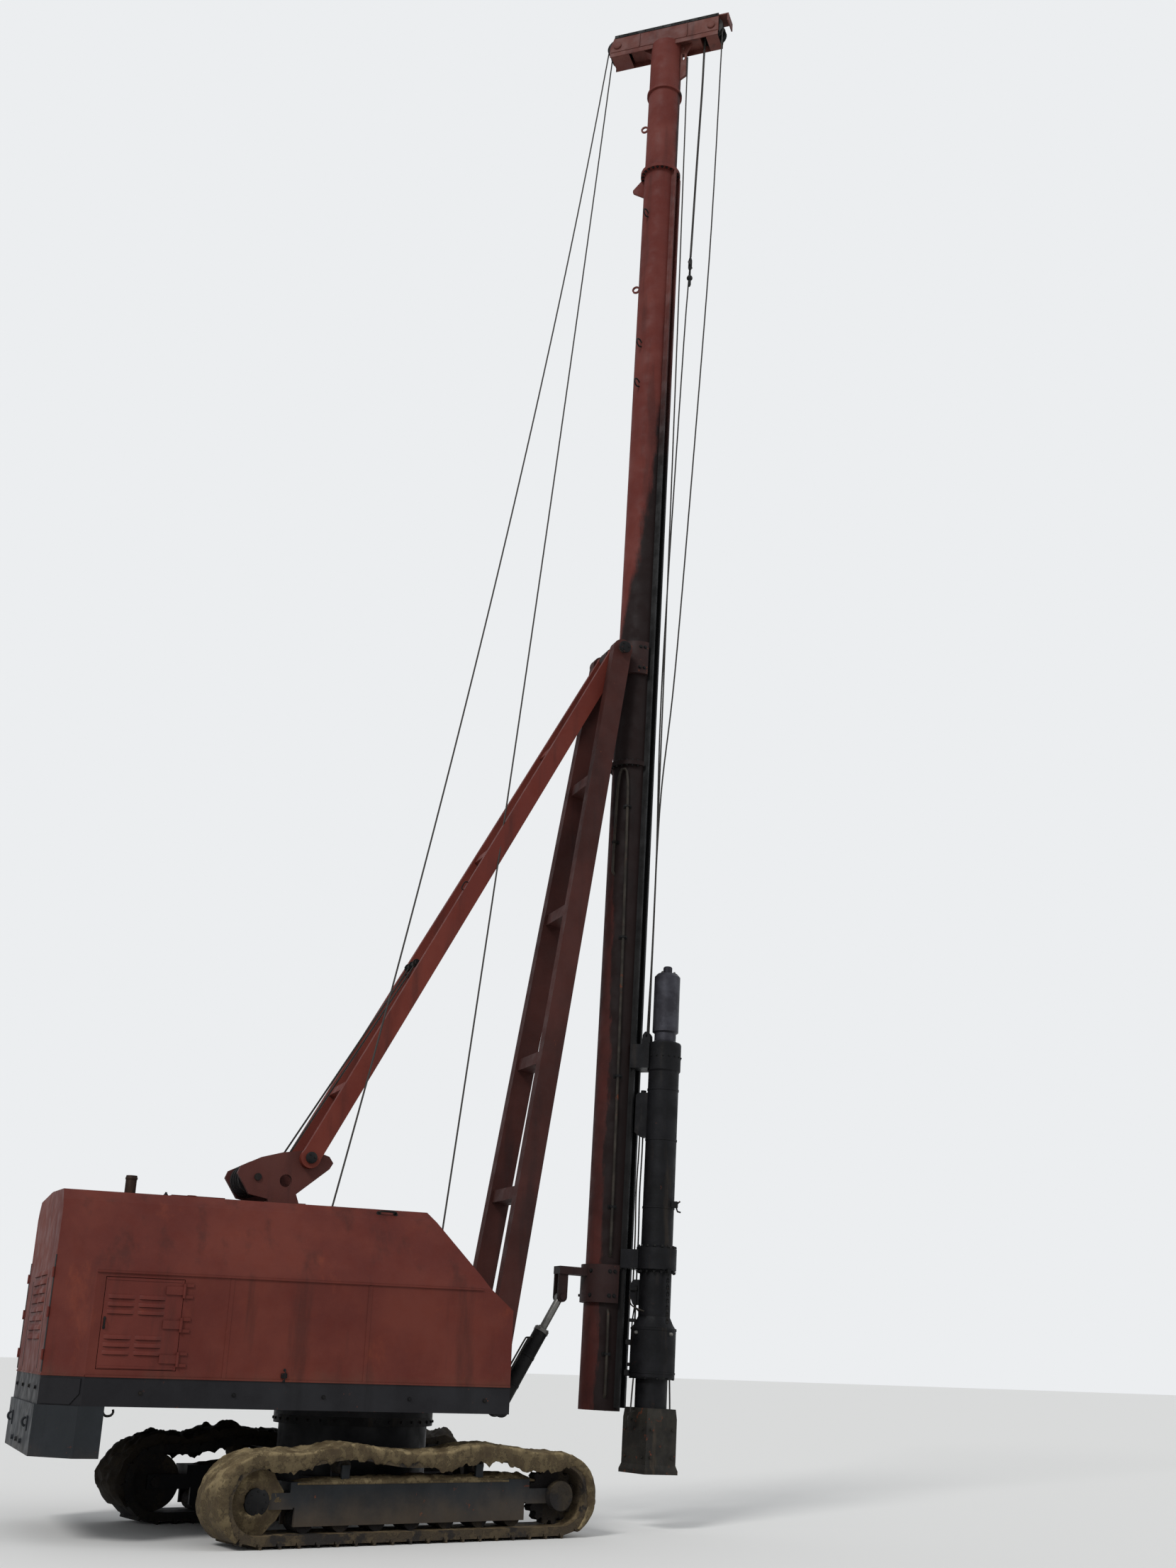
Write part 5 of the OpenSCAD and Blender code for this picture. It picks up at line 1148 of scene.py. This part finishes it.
with forming("leader_foot_ring", BLACK, "leader", "black_steel") as bm:
    foot = Matrix.Translation(mast(0, 0, 1.27)) @ MAST.to_3x3().to_4x4()
    for i in range(8):
        a = math.radians(45 * i)
        add_lathe(bm, [(0.008, 0.0), (0.013, 0.006), (0.013, 0.05)], foot @ Matrix.Translation((0.17 * math.cos(a), 0.17 * math.sin(a), -0.002)), 12)

# Strut

STRUT_FOOT = slew(1.72, 0, 1.26)
STRUT_EYE = CARRIER @ Vector((-0.585, 0, 2.515))
strut_run = (STRUT_EYE - STRUT_FOOT).normalized()
STRUT = facing(STRUT_FOOT, strut_run)
with forming("strut_pipes", PIPE, "strut_lower", "black_steel", 60) as bm:
    for y in (-0.045, 0.045):
        at = [(0.078, y, 0.16), (0.100, y, 0.17), (0.112, y, 0.24), (0.112, y, 0.78), (0.104, y, 0.86), (0.072, y, 0.88)]
        add_tube(bm, smooth_path([STRUT @ Matrix.Rotation(math.radians(90), 4, "Z") @ Vector(p) for p in at], 0.05), 0.011, 8)
with forming("strut_gland", STEEL, "strut_lower", "bare_steel") as bm:
    add_lathe(bm, [(0.075, 0.985), (0.092, 0.99), (0.092, 1.03), (0.082, 1.04), (0.056, 1.045)], STRUT, 28)
    for i in range(6):
        a = math.radians(60 * i)
        add_bolt(bm, STRUT @ Matrix.Translation((0.07 * math.cos(a), 0.07 * math.sin(a), 1.040)), 0.020, 0.012)
with forming("strut_bands", BLACK, "strut_lower", "black_steel") as bm:
    for z in (0.32, 0.68):
        add_lathe(bm, [(0.084, z - 0.018), (0.090, z - 0.015), (0.090, z + 0.015), (0.084, z + 0.018)], STRUT, 28)

# Hammer

with forming("hoist_lugs", HAMMER_STEEL, "hammer", "black_steel") as bm:
    for y in (-0.06, 0.0, 0.06):
        place = MAST @ Matrix.Translation((0, y + 0.008, 0)) @ Matrix.Rotation(math.radians(90), 4, "X")
        add_plate(bm, [(0.35, 5.60), (0.46, 5.60), (0.45, 5.76), (0.42, 5.80), (0.39, 5.80), (0.36, 5.76)], 0.016, place)
        add_tube(bm, arc(mast(0.41, y, 5.765), MAST_Y, MAST_Z, 0.028, -200, 20, 12), 0.008, 8)
        add_tube(bm, [mast(0.41, y - 0.034, 5.755), mast(0.41, y + 0.034, 5.755)], 0.009, 8)
with forming("cylinder_bolts", BLACK, "hammer", "black_steel") as bm:
    for i in range(16):
        degrees = 22.5 * i + 11
        for z, r, up in ((3.150, 0.226, 1), (2.873, 0.226, -1)):
            add_bolt(bm, facing(hammer(degrees, r, z), MAST_Z * up), 0.030, 0.024)
        add_bolt(bm, facing(hammer(degrees, 0.2083, 5.47), hammer(degrees, 1, 5.47) - hammer(0, 0, 5.47)), 0.020, 0.012)
    for i in range(12):
        degrees = 30 * i
        add_bolt(bm, facing(hammer(degrees, 0.262, 1.664), -MAST_Z), 0.024, 0.016)
with forming("body_bands", HAMMER_STEEL, "hammer", "black_steel") as bm:
    # Joint of the hammer's lower body, and the bands of the cylinder
    for z, r, t in ((2.21, 0.2705, 0.018), (1.72, 0.2705, 0.014), (3.62, 0.194, 0.016), (4.44, 0.194, 0.016), (5.06, 0.194, 0.016)):
        add_lathe(bm, [(r - 0.006, z - t), (r + 0.005, z - t * 0.7), (r + 0.005, z + t * 0.7), (r - 0.006, z + t)], HAMMER, 48)
with forming("hammer_pipes", PIPE, "hammer", "black_steel", 60) as bm:
    for y, x in ((-0.055, 0.375), (0.045, 0.385)):
        add_tube(bm, smooth_path([mast(x, y, 4.52), mast(x, y, 4.30), mast(x - 0.01, y * 1.1, 3.8), mast(x, y, 3.3), mast(x, y, 2.74)], 0.12), 0.010, 8)
    add_tube(bm, smooth_path([hammer(176, 0.30, 2.62), hammer(168, 0.295, 2.50), hammer(150, 0.285, 2.42), hammer(120, 0.283, 2.36)], 0.05), 0.009, 8)
    add_tube(bm, smooth_path([hammer(-176, 0.30, 2.62), hammer(-160, 0.295, 2.5), hammer(-128, 0.285, 2.44), hammer(-100, 0.27, 2.40)], 0.05), 0.009, 8)
with forming("pump_levers", BLACK, "hammer", "black_steel") as bm:
    add_tube(bm, [mast(0.425, -0.075, 1.78), mast(0.425, -0.075, 2.70)], 0.011, 8)
    add_tube(bm, smooth_path([mast(0.40, 0.08, 2.66), mast(0.36, 0.085, 2.45), mast(0.34, 0.08, 2.22), mast(0.35, 0.08, 1.9)], 0.06), 0.009, 8)
    for z in (1.80, 2.30, 2.66):
        add_box(bm, (0.35, -0.095, z - 0.02), (0.44, -0.055, z + 0.02), MAST, 0.005)
    # Brackets of the body towards the rails
    for z0, z1 in ((1.67, 1.74), (2.02, 2.08)):
        add_box(bm, (0.325, -0.10, z0), (0.44, 0.10, z1), MAST, 0.006)
    add_tube(bm, smooth_path([mast(0.93, -0.05, 3.70), mast(0.885, -0.05, 3.66), mast(0.90, -0.05, 3.58), mast(0.94, -0.05, 3.57)], 0.03), 0.010, 8)
    add_box(bm, (0.82, -0.07, 3.62), (0.90, -0.03, 3.70), MAST, 0.006)
with forming("hammer_chain", BLACK, "hammer", "black_steel", 60) as bm:
    add_chain(bm, hammer(-38, 0.262, 2.84), hammer(-40, 0.292, 2.30))
    add_box(bm, (-0.012, -0.02, -0.02), (0.03, 0.02, 0.03), facing(hammer(-38, 0.245, 2.88), hammer(-38, 1, 0) - hammer(-38, 0, 0)), 0.004)
with forming("body_eyes", STEEL, "hammer", "bare_steel") as bm:
    for degrees in (-120, -25, 60, 155):
        out = hammer(degrees, 1, 0) - hammer(degrees, 0, 0)
        p = hammer(degrees, 0.272, 2.16)
        add_lathe(bm, [(0.022, -0.01), (0.022, 0.012), (0.014, 0.03), (0.006, 0.034)], facing(p, out), 16)
with forming("helmet_slings", ROPE, "hammer", "wire_rope", 60) as bm:
    for side in (-1, 1):
        lug = HELMET_AT @ Vector((0, side * (HELMET_HALF + 0.070), 1.21))
        up = Vector(lug) + MAST_Z * 0.44
        shift = (HAMMER @ Vector((0, 0, 1.65)) - up)
        body = up + shift.normalized() * 0.02
        add_rope(bm, smooth_path([lug - MAST_Z * 0.03, lug + MAST_Z * 0.12, body], 0.06), 0.010)
        add_tube(bm, arc(lug, MAST_Z, (HELMET_AT.to_3x3() @ Vector((0, 1, 0))), 0.036, 0, 360, 16), 0.008, 8)
with forming("helmet_bolts", HELMET, "hammer", "black_steel") as bm:
    for side in range(4):
        turn = HELMET_AT @ Matrix.Rotation(math.radians(90 * side), 4, "Z")
        for x, z in ((-0.16, 1.10), (0.16, 1.10), (-0.16, 0.80), (0.16, 0.80)):
            add_bolt(bm, turn @ facing((x, -HELMET_HALF - 0.001, z), (0, -1, 0)), 0.030, 0.016)
with forming("ram_eye", STEEL, "hammer_ram", "bare_steel") as bm:
    top = hammer(0, 0, 6.55)
    for degrees in (0, 120, 240):
        add_bolt(bm, facing(hammer(degrees, 0.09, 6.564), MAST_Z), 0.026, 0.016)

# Ground
floor = bmesh.new()
bmesh.ops.create_circle(floor, cap_ends=True, segments=96, radius=260)
ground_finish = Finish("ground")
ground = piece("ground", floor, ground_finish.surface(srgb(226, 225, 222), 0.9, Specular_IOR_Level=0.1), None)
ground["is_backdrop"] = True

# Light
world = bpy.data.worlds.new("studio")
bpy.context.scene.world = world
world.use_nodes = True
tree = world.node_tree
tree.nodes.clear()
path = tree.nodes.new("ShaderNodeLightPath")
seen = tree.nodes.new("ShaderNodeMath")
seen.operation = "MAXIMUM"
tree.links.new(path.outputs["Is Camera Ray"], seen.inputs[0])
tree.links.new(path.outputs["Is Transmission Ray"], seen.inputs[1])
sky, backdrop = (tree.nodes.new("ShaderNodeBackground") for _ in range(2))
sky.inputs["Color"].default_value = (0.93, 0.96, 1.0, 1)
sky.inputs["Strength"].default_value = 0.62
backdrop.inputs["Color"].default_value = srgb(236, 238, 240)
backdrop.inputs["Strength"].default_value = 1.0
choose = tree.nodes.new("ShaderNodeMixShader")
tree.links.new(seen.outputs[0], choose.inputs[0])
tree.links.new(sky.outputs[0], choose.inputs[1])
tree.links.new(backdrop.outputs[0], choose.inputs[2])
tree.links.new(choose.outputs[0], tree.nodes.new("ShaderNodeOutputWorld").inputs[0])

for name, turn, tilt, energy, angle in (("key", -50, 50, 1.4, 14), ("fill", 60, 60, 0.35, 30)):
    lamp = bpy.data.lights.new(name, "SUN")
    lamp.energy, lamp.angle = energy, math.radians(angle)
    holder = bpy.data.objects.new(name, lamp)
    holder.rotation_euler = (math.radians(tilt), 0, math.radians(turn))
    bpy.context.scene.collection.objects.link(holder)

# Camera: where the photograph was taken from
CAMERA_AT = slew(-5.45, -18.87, 1.785)
CAMERA_LOOK = Vector((0.3696, 0.8663, 0.3362))
CAMERA_ROLL = math.radians(1.85)
lens = bpy.data.cameras.new("camera")
lens.sensor_width, lens.lens = 36.0, 37.27
lens.clip_end = 600
camera = bpy.data.objects.new("camera", lens)
turned = CAMERA_LOOK.to_track_quat("-Z", "Y") @ Matrix.Rotation(CAMERA_ROLL, 3, "Z").to_quaternion()
camera.rotation_mode = "QUATERNION"
camera.rotation_quaternion = turned
camera.location = CAMERA_AT
bpy.context.scene.collection.objects.link(camera)
bpy.context.scene.camera = camera
bpy.context.scene.view_settings.view_transform = "Standard"

low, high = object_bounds()
